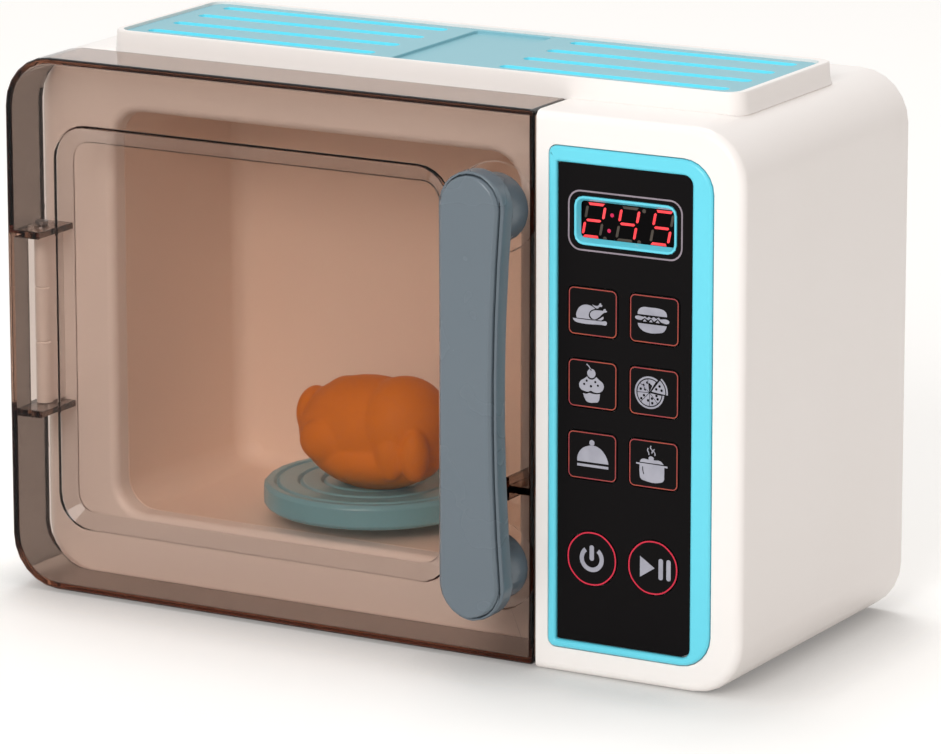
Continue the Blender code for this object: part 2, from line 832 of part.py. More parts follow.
def top_vent_panel():
    """The blue inlay with four long grooves on each side and a sunk middle field."""
    top = HEIGHT + PLATFORM_HEIGHT - INLAY_SUNK
    shape = inlay_shape()
    panel = block("top_vent_panel", shape, top - INLAY_THICKNESS, top, BLUE, place=at_z)
    left, right, low, high, _ = shape
    groove_floor = top - GROOVE_DEPTH
    for row in range(GROOVE_ROWS):
        middle = FRONT + GROOVE_FIRST_Y + row * GROOVE_PITCH
        sides = (
            (left + GROOVE_END_MARGIN, left + GROOVE_END_MARGIN + LEFT_GROOVE_LENGTH),
            (right - GROOVE_END_MARGIN - RIGHT_GROOVE_LENGTH, right - GROOVE_END_MARGIN),
        )
        for side, (start, end) in enumerate(sides):
            groove = box_shape(
                start,
                end,
                middle - GROOVE_WIDTH / 2,
                middle + GROOVE_WIDTH / 2,
                GROOVE_WIDTH / 2 - SMALLEST_RADIUS,
            )
            cut(
                panel,
                block(
                    f"groove_{row}_{side}",
                    groove,
                    groove_floor,
                    top + OVERRUN,
                    place=at_z,
                    steps=SMALL_STEPS,
                ),
            )
    field = box_shape(
        left + FIELD_LEFT,
        left + FIELD_LEFT + FIELD_WIDTH,
        low + FIELD_MARGIN,
        high - FIELD_MARGIN,
        FIELD_RADIUS,
    )
    cut(panel, block("field", field, groove_floor, top + OVERRUN, place=at_z, steps=SMALL_STEPS))
    return panel


def door_shape():
    return box_shape(
        LEFT,
        DOOR_RIGHT,
        DOOR_BOTTOM,
        HEIGHT,
        (CORNER_RADIUS, DOOR_LATCH_RADIUS, DOOR_LATCH_RADIUS, CORNER_RADIUS),
    )


def window_shape():
    left, right, low, high, _ = door_shape()
    return box_shape(
        left + WINDOW_LEFT,
        right - WINDOW_RIGHT,
        low + WINDOW_BOTTOM,
        high - WINDOW_TOP,
        WINDOW_RADIUS,
    )


def door_rings():
    """One skin from the back of the sunk window, round the door's edges, to the window's front."""
    lean = math.atan2(WINDOW_DEPTH, WINDOW_SLOPE)
    spread = DOOR_WALL * (1 / math.cos(lean) - 1) / math.tan(lean)
    door = door_shape()
    window = window_shape()
    inner = inset(door, DOOR_WALL)
    rings = [
        at_y(outline(inset(window, WINDOW_SLOPE - spread)), FRONT + DOOR_WALL + WINDOW_DEPTH),
        at_y(outline(inset(window, -spread)), FRONT + DOOR_WALL),
        at_y(outline(inner), FRONT + DOOR_WALL),
        at_y(outline(inner), DOOR_BACK),
        at_y(outline(door), DOOR_BACK),
    ]
    for inward, along in reversed(quarter_round(DOOR_ROUND)):
        rings.append(at_y(outline(inset(door, inward)), FRONT + along))
    rings.append(at_y(outline(window), FRONT))
    rings.append(at_y(outline(inset(window, WINDOW_SLOPE)), FRONT + WINDOW_DEPTH))
    return rings


def door_rib(name, left, right, low):
    return block(
        name,
        box_shape(left, right, FRONT + DOOR_WALL / 2, DOOR_BACK),
        low,
        low + RIB_THICKNESS,
        place=at_z,
    )


def swing_trim():
    """What the door's rear left edge gives up so that it can turn about the pin before the frame."""
    radius = DOOR_BACK - HINGE[1]
    angles = [math.pi * (1 + step / CORNER_STEPS) / 2 for step in range(CORNER_STEPS + 1)]
    arc = [(HINGE[0] + radius * math.cos(a), HINGE[1] + radius * math.sin(a)) for a in angles]
    beyond = HINGE[0] - radius - OVERRUN
    corner = DOOR_BACK + OVERRUN
    points = arc + [(beyond, HINGE[1]), (beyond, corner), (HINGE[0], corner)]
    return skin("swing_trim", [at_z(points, -OVERRUN), at_z(points, HEIGHT + OVERRUN)])


def door_shell():
    """The smoked door: a shallow box with a sunk window, hinge ribs, a latch rib and handle seats."""
    door = skin("door_shell", door_rings(), SMOKE)
    rib_left = LEFT + DOOR_WALL / 2
    rib_right = LEFT + DOOR_WALL + RIB_REACH
    join(
        door,
        door_rib("rib_low", rib_left, rib_right, HINGE_LOW),
        door_rib("rib_high", rib_left, rib_right, HINGE_HIGH - RIB_THICKNESS),
        door_rib("rib_latch", TONGUE_X, DOOR_RIGHT - DOOR_WALL / 2, LATCH_RIB_LOW),
        latch_tongue(),
    )
    notch = box_shape(
        LEFT - OVERRUN,
        LEFT + DOOR_WALL + CLEARANCE,
        HINGE_LOW + RIB_THICKNESS,
        HINGE_HIGH - RIB_THICKNESS,
    )
    cut(door, block("notch", notch, FRONT + NOTCH_Y, DOOR_BACK + OVERRUN), swing_trim())
    cut(door, pin_cutter("rib_bore"))
    for number, z in enumerate(HANDLE_POSTS_Z):
        centre = (HANDLE_CENTRE_X, z)
        boss = [
            (HANDLE_BOSS_RADIUS, FRONT + DOOR_WALL - SEAT_DEPTH / 2),
            (HANDLE_BOSS_RADIUS, FRONT + DOOR_WALL + HANDLE_BOSS_LENGTH),
        ]
        seat = [(SEAT_RADIUS, FRONT - OVERRUN), (SEAT_RADIUS, FRONT + SEAT_DEPTH)]
        hole_radius = HANDLE_SCREW_RADIUS + CLEARANCE
        hole = [
            (hole_radius, FRONT - OVERRUN),
            (hole_radius, FRONT + DOOR_WALL + HANDLE_BOSS_LENGTH + OVERRUN),
        ]
        join(door, turned(f"handle_boss_{number}", centre, boss, place=at_y))
        cut(
            door,
            turned(f"handle_seat_{number}", centre, seat, place=at_y, sides=2 * ROUND_SIDES),
            turned(f"handle_hole_{number}", centre, hole, place=at_y, sides=ROUND_SIDES // 2),
        )
    return door


def latch_tongue():
    return block(
        "latch_tongue",
        box_shape(
            TONGUE_X - LATCH_TONGUE_WIDTH / 2,
            TONGUE_X + LATCH_TONGUE_WIDTH / 2,
            TONGUE_Z - LATCH_TONGUE_HEIGHT / 2,
            TONGUE_Z + LATCH_TONGUE_HEIGHT / 2,
        ),
        FRONT + LATCH_TONGUE_FRONT,
        FRONT + LATCH_TONGUE_BACK,
    )


def latch_catch():
    """A spring clip of folded strip on the back of the front frame, open towards the door."""
    inner = LATCH_TONGUE_WIDTH / 2 + CATCH_GAP
    outer = inner + CATCH_THICKNESS
    start = FRAME_Y + WALL + CLEARANCE
    foot = start + CATCH_THICKNESS
    bottom = FRONT + LATCH_TONGUE_BACK + CATCH_BOTTOM_GAP
    half = [
        (inner, start),
        (outer + CATCH_FOOT, start),
        (outer + CATCH_FOOT, foot),
        (outer, foot),
        (outer, bottom + CATCH_THICKNESS),
    ]
    right = [(TONGUE_X + across, y) for across, y in half]
    left = [(TONGUE_X - across, y) for across, y in reversed(half)]
    throat = [(TONGUE_X - inner, bottom), (TONGUE_X + inner, bottom)]
    points = right + left + throat
    half_height = LATCH_TONGUE_HEIGHT / 2 + LATCH_SLOT_END
    return skin(
        "latch_catch",
        [at_z(points, TONGUE_Z - half_height), at_z(points, TONGUE_Z + half_height)],
        STEEL,
    )


def hinge_pin():
    low = HINGE_LOW - CLEARANCE
    high = HINGE_HIGH + CLEARANCE
    profile = [
        (PIN_RADIUS, low),
        (PIN_RADIUS, high),
        (PIN_HEAD_RADIUS, high),
        (PIN_HEAD_RADIUS, high + PIN_HEAD),
    ]
    return turned("hinge_pin", HINGE, profile, STEEL)


def bow(z):
    """How far the handle stands out at this height beyond its ends."""
    middle = (HANDLE_LOW_Z + HANDLE_HIGH_Z) / 2
    half = (HANDLE_HIGH_Z - HANDLE_LOW_Z) / 2
    return HANDLE_BOW * max(0.0, 1 - ((z - middle) / half) ** 2)


def handle_rows(end_half, mid_half):
    """(height, half width) up the handle: a half circle, a waisted run and a half circle."""
    middle = (HANDLE_LOW_Z + HANDLE_HIGH_Z) / 2
    half = (HANDLE_HIGH_Z - HANDLE_LOW_Z) / 2
    rows = []
    for step in range(HANDLE_END_STEPS):
        angle = math.pi * (step + 0.5) / HANDLE_END_STEPS / 2
        rows.append((HANDLE_LOW_Z - end_half * math.cos(angle), end_half * math.sin(angle)))
    for step in range(HANDLE_BOW_STEPS + 1):
        z = HANDLE_LOW_Z + 2 * half * step / HANDLE_BOW_STEPS
        waist = 1 - ((z - middle) / half) ** 2
        rows.append((z, end_half - (end_half - mid_half) * waist))
    for step in reversed(range(HANDLE_END_STEPS)):
        angle = math.pi * (step + 0.5) / HANDLE_END_STEPS / 2
        rows.append((HANDLE_HIGH_Z + end_half * math.cos(angle), end_half * math.sin(angle)))
    return rows


def handle_bar(name, end_half, mid_half, back, front, edge, look=None):
    """A bowed bar between two distances before the door, with softened front edges."""
    rings = []
    for z, half in handle_rows(end_half, mid_half):
        out = bow(z)
        soft = min(edge, half / 2)
        section = [
            (-half, -back - out),
            (half, -back - out),
            (half, -front + soft - out),
            (half - soft, -front - out),
            (-half + soft, -front - out),
            (-half, -front + soft - out),
        ]
        rings.append([(HANDLE_CENTRE_X + x, FRONT + y, z) for x, y in section])
    return skin(name, rings, look)


def handle_back():
    """The handle's body: two round posts and the bar that they carry."""
    front = HANDLE_BACK_Y + HANDLE_THICKNESS
    body = handle_bar(
        "handle_back", HANDLE_END_HALF, HANDLE_MID_HALF, HANDLE_BACK_Y, front, HANDLE_EDGE, GREY
    )
    for number, z in enumerate(HANDLE_POSTS_Z):
        centre = (HANDLE_CENTRE_X, z)
        post_end = FRONT - HANDLE_BACK_Y - HANDLE_THICKNESS / 2
        post = [(POST_RADIUS, post_end), (POST_RADIUS, FRONT + SEAT_DEPTH - CLEARANCE)]
        hole_radius = HANDLE_SCREW_RADIUS + CLEARANCE
        hole = [(hole_radius, FRONT - HANDLE_SCREW_LENGTH), (hole_radius, FRONT + OVERRUN)]
        join(body, turned(f"post_{number}", centre, post, place=at_y, sides=2 * ROUND_SIDES))
        cut(body, turned(f"post_hole_{number}", centre, hole, place=at_y, sides=ROUND_SIDES // 2))
    cut(
        body,
        handle_bar(
            "plate_pocket",
            PLATE_END_HALF + CLEARANCE,
            PLATE_MID_HALF + CLEARANCE,
            front - PLATE_SUNK - CLEARANCE,
            front + OVERRUN,
            0,
        ),
    )
    return body


def handle_cover():
    front = HANDLE_BACK_Y + HANDLE_THICKNESS
    return handle_bar(
        "handle_cover",
        PLATE_END_HALF,
        PLATE_MID_HALF,
        front - PLATE_SUNK,
        front + PLATE_PROUD,
        HANDLE_EDGE,
        GREY,
    )


def handle_screw(name, z):
    """A screw from inside the door into a post."""
    seat = FRONT + DOOR_WALL + HANDLE_BOSS_LENGTH + CLEARANCE
    profile = [
        (HANDLE_SCREW_RADIUS, FRONT - HANDLE_SCREW_LENGTH + CLEARANCE),
        (HANDLE_SCREW_RADIUS, seat),
        (HANDLE_SCREW_HEAD_RADIUS, seat),
        (HANDLE_SCREW_HEAD_RADIUS, seat + HANDLE_SCREW_HEAD),
    ]
    return turned(
        name, (HANDLE_CENTRE_X, z), profile, STEEL, place=at_y, sides=KEY_ROUND_SIDES // 2
    )


def cavity_liner():
    """The pale oven box: a drafted cup with a flat floor and a hole for the turntable's bush."""
    shape = opening_shape()
    outer = inset(shape, -LINER_WALL)

    def ring(base, depth, inward):
        drafted = inset(base, LINER_DRAFT * depth / LINER_DEPTH, LINER_DRAFT_SHARES)
        return outline(inset(drafted, inward))

    rings = []
    for inward, along in quarter_round(LINER_FILLET):
        depth = LINER_DEPTH - along
        rings.append(at_y(ring(shape, depth, inward), LINER_FRONT + depth))
    rings.append(at_y(outline(shape), LINER_FRONT))
    rings.append(at_y(outline(outer), LINER_FRONT))
    for inward, along in reversed(quarter_round(LINER_FILLET)):
        depth = LINER_DEPTH - along
        rings.append(at_y(ring(outer, depth, inward), LINER_FRONT + depth + LINER_WALL))
    liner = skin("cavity_liner", rings, CREAM)
    hole = SPINDLE_RADIUS + 2 * CLEARANCE + BUSH_WALL
    profile = [(hole, OPENING_BOTTOM - LINER_WALL - OVERRUN), (hole, OPENING_BOTTOM + OVERRUN)]
    return cut(liner, turned("bush_hole", TABLE_CENTRE, profile))


def turntable_plate():
    """The teal plate: a raised rim, shallow rings on top and a hollow underside round its foot."""
    top = TABLE_TOP_Z
    low = TABLE_BOTTOM_Z
    profile = [
        (TABLE_RADIUS - TABLE_RIM, low),
        (TABLE_RADIUS - TABLE_EDGE, low),
        (TABLE_RADIUS, low + TABLE_EDGE),
        (TABLE_RADIUS, top - TABLE_EDGE),
        (TABLE_RADIUS - TABLE_EDGE, top),
    ]
    radius = TABLE_RADIUS - TABLE_RIM
    for _ in range(TABLE_GROOVES):
        profile += [
            (radius, top),
            (radius - TABLE_GROOVE_WIDTH / 2, top - TABLE_GROOVE),
            (radius - TABLE_GROOVE_WIDTH, top),
        ]
        radius -= TABLE_GROOVE_PITCH
    bore = SPINDLE_RADIUS + CLEARANCE
    profile += [
        (bore, top),
        (bore, low),
        (TABLE_FOOT_RADIUS, low),
        (TABLE_FOOT_RADIUS, low + TABLE_DISH),
        (TABLE_RADIUS - TABLE_RIM, low + TABLE_DISH),
    ]
    return turned("turntable_plate", TABLE_CENTRE, profile, TEAL, sides=TABLE_SIDES, wrap=True)


def turntable_spindle():
    """The shaft from the base up through gear and bush, with a hub that the plate sits on."""
    gear_seat = GEAR_BOTTOM - CLEARANCE
    hub_low = OPENING_BOTTOM + 2 * CLEARANCE + BUSH_FLANGE_THICKNESS
    hub_top = TABLE_BOTTOM_Z - CLEARANCE
    profile = [
        (SPINDLE_RADIUS, WALL + BOSS_FLOOR + CLEARANCE),
        (SPINDLE_RADIUS, gear_seat - SPINDLE_FLANGE),
        (SPINDLE_FLANGE_RADIUS, gear_seat - SPINDLE_FLANGE),
        (SPINDLE_FLANGE_RADIUS, gear_seat),
        (SPINDLE_RADIUS, gear_seat),
        (SPINDLE_RADIUS, hub_low),
        (SPINDLE_HUB_RADIUS, hub_low),
        (SPINDLE_HUB_RADIUS, hub_top),
        (SPINDLE_RADIUS, hub_top),
        (SPINDLE_RADIUS, TABLE_TOP_Z - SPINDLE_PEG),
    ]
    return turned("turntable_spindle", TABLE_CENTRE, profile, NYLON)


def spindle_bush():
    """A flanged ring that lines the hole in the oven floor."""
    bore = SPINDLE_RADIUS + CLEARANCE
    sleeve = bore + BUSH_WALL
    flange = sleeve + BUSH_FLANGE
    floor = OPENING_BOTTOM + CLEARANCE
    profile = [
        (bore, OPENING_BOTTOM - LINER_WALL - BUSH_REACH),
        (sleeve, OPENING_BOTTOM - LINER_WALL - BUSH_REACH),
        (sleeve, floor),
        (flange, floor),
        (flange, floor + BUSH_FLANGE_THICKNESS),
        (bore, floor + BUSH_FLANGE_THICKNESS),
    ]
    return turned("spindle_bush", TABLE_CENTRE, profile, NYLON, wrap=True)


def gear_points(centre, teeth, first_angle):
    """The outline of a spur gear whose first tooth points along first_angle."""
    pitch_radius = GEAR_MODULE * teeth / 2
    tip = pitch_radius + GEAR_MODULE
    root = pitch_radius - GEAR_MODULE * DEDENDUM_SHARE
    half_width = math.pi * GEAR_MODULE / 4 - GEAR_BACKLASH / 2
    lean = math.tan(math.radians(PRESSURE_ANGLE))
    corners = (
        (root, half_width + GEAR_MODULE * DEDENDUM_SHARE * lean),
        (tip, half_width - GEAR_MODULE * lean),
    )
    points = []
    for tooth in range(teeth):
        middle = first_angle + 2 * math.pi * tooth / teeth
        flank = [(radius, -half) for radius, half in corners]
        flank += [(radius, half) for radius, half in reversed(corners)]
        for radius, half in flank:
            angle = middle + half / radius
            points.append((centre[0] + radius * math.cos(angle), centre[1] + radius * math.sin(angle)))
    return points


def gear(name, centre, teeth, first_angle, shaft_radius):
    points = gear_points(centre, teeth, first_angle)
    wheel = skin(name, [at_z(points, GEAR_BOTTOM), at_z(points, GEAR_TOP)], NYLON)
    bore = shaft_radius + CLEARANCE
    profile = [(bore, GEAR_BOTTOM - OVERRUN), (bore, GEAR_TOP + OVERRUN)]
    return cut(wheel, turned(name + "_bore", centre, profile))


def meshing_turn(teeth, turn, towards, next_teeth):
    """The turn that puts a space of the next gear on a tooth of this one, along the line of centres."""
    part_tooth = (towards - turn) * teeth / (2 * math.pi) % 1
    return towards + math.pi + (part_tooth + 1 / 2) * 2 * math.pi / next_teeth


def gear_train():
    """The table's gear, the idler to its right, and the motor's pinion behind the idler."""
    table = gear("turntable_gear", TABLE_CENTRE, TABLE_TEETH, 0, SPINDLE_RADIUS)
    idler_turn = meshing_turn(TABLE_TEETH, 0, 0, IDLER_TEETH)
    idler = gear("idler_gear", IDLER_CENTRE, IDLER_TEETH, idler_turn, AXLE_RADIUS)
    pinion_turn = meshing_turn(IDLER_TEETH, idler_turn, math.pi / 2, PINION_TEETH)
    pinion = gear("drive_pinion", PINION_CENTRE, PINION_TEETH, pinion_turn, MOTOR_SHAFT_RADIUS)
    return table, idler, pinion


def idler_axle():
    head = GEAR_TOP + CLEARANCE
    profile = [
        (AXLE_RADIUS, WALL + BOSS_FLOOR + CLEARANCE),
        (AXLE_RADIUS, head),
        (AXLE_HEAD_RADIUS, head),
        (AXLE_HEAD_RADIUS, head + AXLE_HEAD),
    ]
    return turned("idler_axle", IDLER_CENTRE, profile, STEEL)


def gear_motor():
    """The motor's box on the base, with its shaft up through the pinion."""
    x, y = PINION_CENTRE
    top = GEAR_BOTTOM - SPINDLE_FLANGE
    shape = box_shape(x - MOTOR_WIDTH / 2, x + MOTOR_WIDTH / 2, y - MOTOR_DEPTH / 2, y + MOTOR_DEPTH / 2)
    motor = block("gear_motor", shape, WALL + CLEARANCE, top, NYLON, place=at_z)
    shaft = [(MOTOR_SHAFT_RADIUS, top - SPINDLE_FLANGE), (MOTOR_SHAFT_RADIUS, GEAR_TOP)]
    return join(motor, turned("motor_shaft", PINION_CENTRE, shaft))


def food_lump(name, shares):
    """One egg-shaped lump: its middle and its half sizes as shares of the whole roast."""
    across, deep, up, half_across, half_deep, half_up = shares
    x = TABLE_CENTRE[0] + FOOD_ASIDE + across * FOOD_LENGTH
    y = TABLE_CENTRE[1] - FOOD_FORWARD + deep * FOOD_WIDTH
    z = TABLE_TOP_Z + CLEARANCE + up * FOOD_HEIGHT
    rings = []
    for step in range(FOOD_RINGS):
        angle = math.pi * (step + 0.5) / FOOD_RINGS
        radius = math.sin(angle)
        rings.append(
            [
                (
                    x - half_across * FOOD_LENGTH * math.cos(angle),
                    y + half_deep * FOOD_WIDTH * radius * math.cos(turn),
                    z + half_up * FOOD_HEIGHT * radius * math.sin(turn),
                )
                for turn in [2 * math.pi * side / FOOD_SIDES for side in range(FOOD_SIDES)]
            ]
        )
    return skin(name, rings, ORANGE if name == "play_food" else None)


def play_food():
    """A toy roast chicken: body, breast, two drumstick ends and two thighs."""
    lumps = [
        food_lump("play_food" if number == 0 else f"lump_{number}", shares)
        for number, shares in enumerate(FOOD_LUMPS_SHARES)
    ]
    food = join(*lumps)
    low = TABLE_TOP_Z + CLEARANCE
    x, y = TABLE_CENTRE
    under = box_shape(x - FOOD_LENGTH, x + FOOD_LENGTH, y - FOOD_WIDTH, y + FOOD_WIDTH)
    return cut(food, block("food_foot", under, low - FOOD_HEIGHT, low, place=at_z))


def control_bezel():
    """The blue frame: a soft-edged ring that stands a little proud of the white panel."""
    outer = bezel_outer()
    inner = bezel_inner()
    face = FRONT - BEZEL_PROUD
    back = FRONT + BEZEL_POCKET - CLEARANCE
    rings = [
        at_y(outline(outer), back),
        at_y(outline(outer), face + BEZEL_EDGE),
        at_y(outline(inset(outer, BEZEL_EDGE)), face),
        at_y(outline(inset(inner, -BEZEL_EDGE)), face),
        at_y(outline(inner), face + BEZEL_EDGE),
        at_y(outline(inner), back),
    ]
    return skin("control_bezel", rings, BLUE, wrap=True)


def control_overlay():
    """The black plate inside the bezel, with a hole for each key and for the display."""
    plate = block(
        "control_overlay",
        inset(bezel_inner(), CLEARANCE),
        FRONT + OVERLAY_SUNK,
        FRONT + BEZEL_POCKET - CLEARANCE,
        BLACK,
        steps=SMALL_STEPS,
    )
    return cut(plate, display_hole("overlay_display_hole"), *key_holes("overlay"))


def display_bezel():
    """The blue well round the display, its walls sloping in to the glass."""
    outer = display_shape()
    mouth = inset(outer, DISPLAY_RIM)
    left, right, low, high, radii = mouth
    floor = (
        left + DISPLAY_SLOPE_X,
        right - DISPLAY_SLOPE_X,
        low + DISPLAY_SLOPE_Z,
        high - DISPLAY_SLOPE_Z,
        tuple(radius / 2 for radius in radii),
    )
    steps = SMALL_STEPS + 1
    rings = [
        at_y(outline(outer, steps), FRONT + DISPLAY_DEPTH),
        at_y(outline(outer, steps), FRONT),
        at_y(outline(mouth, steps), FRONT),
        at_y(outline(floor, steps), FRONT + DISPLAY_DEPTH),
    ]
    return skin("display_bezel", rings, BLUE, wrap=True)


def display_window():
    start = FRONT + DISPLAY_DEPTH + CLEARANCE
    return block(
        "display_window", display_shape(), start, start + DISPLAY_GLASS, BLACK, steps=SMALL_STEPS + 1
    )


def display_module():
    """The digit block between the glass and the circuit board."""
    start = FRONT + DISPLAY_DEPTH + DISPLAY_GLASS + 2 * CLEARANCE
    return block("display_module", display_shape(), start, BOARD_Y - CLEARANCE, BLACK, steps=1)


def key_cap(name, shape):
    """A key: a softly edged cap through the panel and a flange that stops behind it."""
    face = FRONT + OVERLAY_SUNK
    flange_y = FRONT + PANEL_WALL + CLEARANCE
    flange = inset(shape, -KEY_FLANGE - KEY_GAP)
    rings = [
        at_y(key_outline(inset(shape, KEY_EDGE)), face - KEY_CROWN),
        at_y(key_outline(shape), face + KEY_EDGE - KEY_CROWN),
        at_y(key_outline(shape), flange_y),
        at_y(key_outline(flange), flange_y),
        at_y(key_outline(flange), flange_y + KEY_FLANGE_THICKNESS),
    ]
    return skin(name, rings, BLACK)


def keys():
    for name, shape in key_places():
        cap = key_cap(name, shape)
        middle = ((shape[0] + shape[1]) / 2, FRONT + OVERLAY_SUNK, (shape[2] + shape[3]) / 2)
        pivot(name + "_slide", middle, cap)


def key_field():
    """The rectangle round all eight keys."""
    shapes = [shape for _, shape in key_places()]
    return box_shape(
        min(shape[0] for shape in shapes),
        max(shape[1] for shape in shapes),
        min(shape[2] for shape in shapes),
        max(shape[3] for shape in shapes),
    )


def keypad_mat():
    field = inset(key_field(), -MAT_MARGIN)
    return block("keypad_mat", field, MAT_Y, MAT_Y + MAT_THICKNESS, RUBBER)


def circuit_board():
    left, right, low, _, _ = inset(key_field(), -MAT_MARGIN - BOARD_MARGIN)
    top = display_shape()[3] + BOARD_TOP_MARGIN
    shape = box_shape(left, right, low, top)
    return block("circuit_board", shape, BOARD_Y, BOARD_Y + BOARD_THICKNESS, GREEN)


def speaker():
    """A small loudspeaker behind the grille of the rear cover."""
    front = COVER_Y - CLEARANCE
    profile = [
        (SPEAKER_RADIUS, front),
        (SPEAKER_RADIUS, front - SPEAKER_RIM),
        (SPEAKER_MAGNET_RADIUS, front - SPEAKER_RIM - SPEAKER_CONE),
        (SPEAKER_MAGNET_RADIUS, front - SPEAKER_RIM - SPEAKER_CONE - SPEAKER_MAGNET),
    ]
    centre = (PARTITION_X + SPEAKER_X, SPEAKER_Z)
    return turned("speaker", centre, profile, STEEL, place=at_y, sides=KEY_ROUND_SIDES)


def bay_shape():
    return box_shape(
        BAY_CENTRE_X - BAY_LENGTH / 2, BAY_CENTRE_X + BAY_LENGTH / 2, BAY_BOTTOM, BAY_TOP
    )


def bay_door_shape():
    left, right, low, high, _ = inset(bay_shape(), -BAY_LEDGE)
    return box_shape(left, right, low, high + BAY_DOOR_TAB)


def bay_screw_place():
    return BAY_CENTRE_X, BAY_TOP + BAY_LEDGE + BAY_DOOR_TAB / 2


def cover_parts():
    """What stands on the inside of the rear cover: the battery box, a boss and two pressers."""
    yield block("bay_box", inset(bay_shape(), -BAY_WALL), BAY_FLOOR_Y - BAY_WALL, COVER_Y + COVER_THICKNESS / 2)
    x, z = bay_screw_place()
    boss_end = COVER_Y - COVER_SCREW_LENGTH
    boss = [(COVER_BOSS_RADIUS, boss_end), (COVER_BOSS_RADIUS, COVER_Y + COVER_THICKNESS / 4)]
    yield turned("bay_boss", (x, z), boss, place=at_y, sides=KEY_ROUND_SIDES // 2)
    left, right, low, high, _ = opening_shape()
    middle = (low + high) / 2
    for number, share in enumerate(PRESSER_SHARES):
        x = left + (right - left) * share
        yield block(
            f"presser_{number}",
            box_shape(
                x - PRESSER_THICKNESS / 2,
                x + PRESSER_THICKNESS / 2,
                middle - PRESSER_HEIGHT / 2,
                middle + PRESSER_HEIGHT / 2,
            ),
            LINER_BACK + LINER_WALL + CLEARANCE,
            COVER_Y + COVER_THICKNESS / 2,
        )


def screw_seat(name, place, start, head):
    """The hole and the sunk seat of a screw that ends flush with the cover's back."""
    hole = COVER_SCREW_RADIUS + CLEARANCE
    seat_radius = COVER_SCREW_HEAD_RADIUS + CLEARANCE
    seat_y = COVER_BACK - head - CLEARANCE
    profile = [
        (hole, start - OVERRUN),
        (hole, seat_y),
        (seat_radius, seat_y),
        (seat_radius, COVER_BACK + OVERRUN),
    ]
    return turned(name, place, profile, place=at_y, sides=KEY_ROUND_SIDES // 2)


def cover_cutters():
    """The battery bay, the seat of its door, the speaker's slots and the screw holes."""
    yield block("bay_hollow", bay_shape(), BAY_FLOOR_Y, COVER_BACK + OVERRUN)
    seat = inset(bay_door_shape(), -CLEARANCE)
    yield block("bay_seat", seat, BAY_DOOR_Y - CLEARANCE, COVER_BACK + OVERRUN)
    centre = (PARTITION_X + SPEAKER_X, SPEAKER_Z)
    for slot in range(GRILLE_SLOTS):
        rise = (slot - (GRILLE_SLOTS - 1) / 2) * GRILLE_PITCH
        half = math.sqrt(GRILLE_RADIUS**2 - rise**2)
        shape = box_shape(
            centre[0] - half,
            centre[0] + half,
            centre[1] + rise - GRILLE_SLOT_WIDTH / 2,
            centre[1] + rise + GRILLE_SLOT_WIDTH / 2,
            GRILLE_SLOT_WIDTH / 2 - SMALLEST_RADIUS,
        )
        yield block(
            f"grille_{slot}", shape, COVER_Y - OVERRUN, COVER_BACK + OVERRUN, steps=SMALL_STEPS
        )
    for number, place in enumerate(cover_screw_places()):
        yield screw_seat(f"cover_hole_{number}", place, COVER_Y, COVER_SCREW_HEAD)
    hole = COVER_SCREW_RADIUS + CLEARANCE
    pilot = [(hole, COVER_BACK - COVER_SCREW_LENGTH - CLEARANCE), (hole, COVER_BACK + OVERRUN)]
    yield turned("bay_pilot", bay_screw_place(), pilot, place=at_y, sides=KEY_ROUND_SIDES // 2)


def rear_cover():
    """The inset back: battery box, speaker slots, screw seats and two ribs that press the liner."""
    cover = block("rear_cover", inset(interior_shape(), CLEARANCE), COVER_Y, COVER_BACK, WHITE)
    join(cover, *cover_parts())
    return cut(cover, *cover_cutters())


def cover_screw(name, place, length, head):
    """A screw whose head is flush with the cover's back and whose shank runs forward."""
    profile = [
        (COVER_SCREW_RADIUS, COVER_BACK - length),
        (COVER_SCREW_RADIUS, COVER_BACK - head),
        (COVER_SCREW_HEAD_RADIUS, COVER_BACK - head),
        (COVER_SCREW_HEAD_RADIUS, COVER_BACK),
    ]
    return turned(name, place, profile, STEEL, place=at_y, sides=KEY_ROUND_SIDES // 2)


def battery_door():
    """The lid over the cells, with a screw through its upper edge."""
    door = block("battery_door", bay_door_shape(), BAY_DOOR_Y, COVER_BACK, WHITE)
    return cut(door, screw_seat("lid_hole", bay_screw_place(), BAY_DOOR_Y, BAY_SCREW_HEAD))


def battery(name, row):
    """A cell along X, every second one turned round."""
    half = (CELL_LENGTH + CELL_NUB) / 2
    profile = [(CELL_RADIUS, -half), (CELL_RADIUS, half - CELL_NUB)]
    profile += [(CELL_NUB_RADIUS, half - CELL_NUB), (CELL_NUB_RADIUS, half)]
    way = 1 if row % 2 == 0 else -1
    centre = (BAY_FLOOR_Y + CELL_PITCH / 2, BAY_BOTTOM + CELL_PITCH * (row + 0.5))
    placed = [(radius, BAY_CENTRE_X + way * along) for radius, along in profile]
    return turned(name, centre, placed, CELL, place=at_x)


def contact(name, side):
    """The spring plate at one end of the battery bay."""
    outer = BAY_CENTRE_X + side * (BAY_LENGTH / 2 - CLEARANCE)
    inner = outer - side * CONTACT_THICKNESS
    shape = box_shape(min(outer, inner), max(outer, inner), BAY_BOTTOM + CLEARANCE, BAY_TOP - CLEARANCE)
    start = BAY_FLOOR_Y + CLEARANCE
    return block(name, shape, start, start + 2 * CELL_RADIUS - CLEARANCE, STEEL)


def rear_assembly():
    rear_cover()
    for number, place in enumerate(cover_screw_places(), 1):
        cover_screw(f"rear_screw_{number}", place, COVER_THICKNESS + COVER_SCREW_LENGTH, COVER_SCREW_HEAD)
    battery_door()
    cover_screw("battery_door_screw", bay_screw_place(), COVER_SCREW_LENGTH, BAY_SCREW_HEAD)
    for row in range(CELLS):
        battery(f"battery_{row + 1}", row)
    contact("contact_left", -1)
    contact("contact_right", 1)
    speaker()


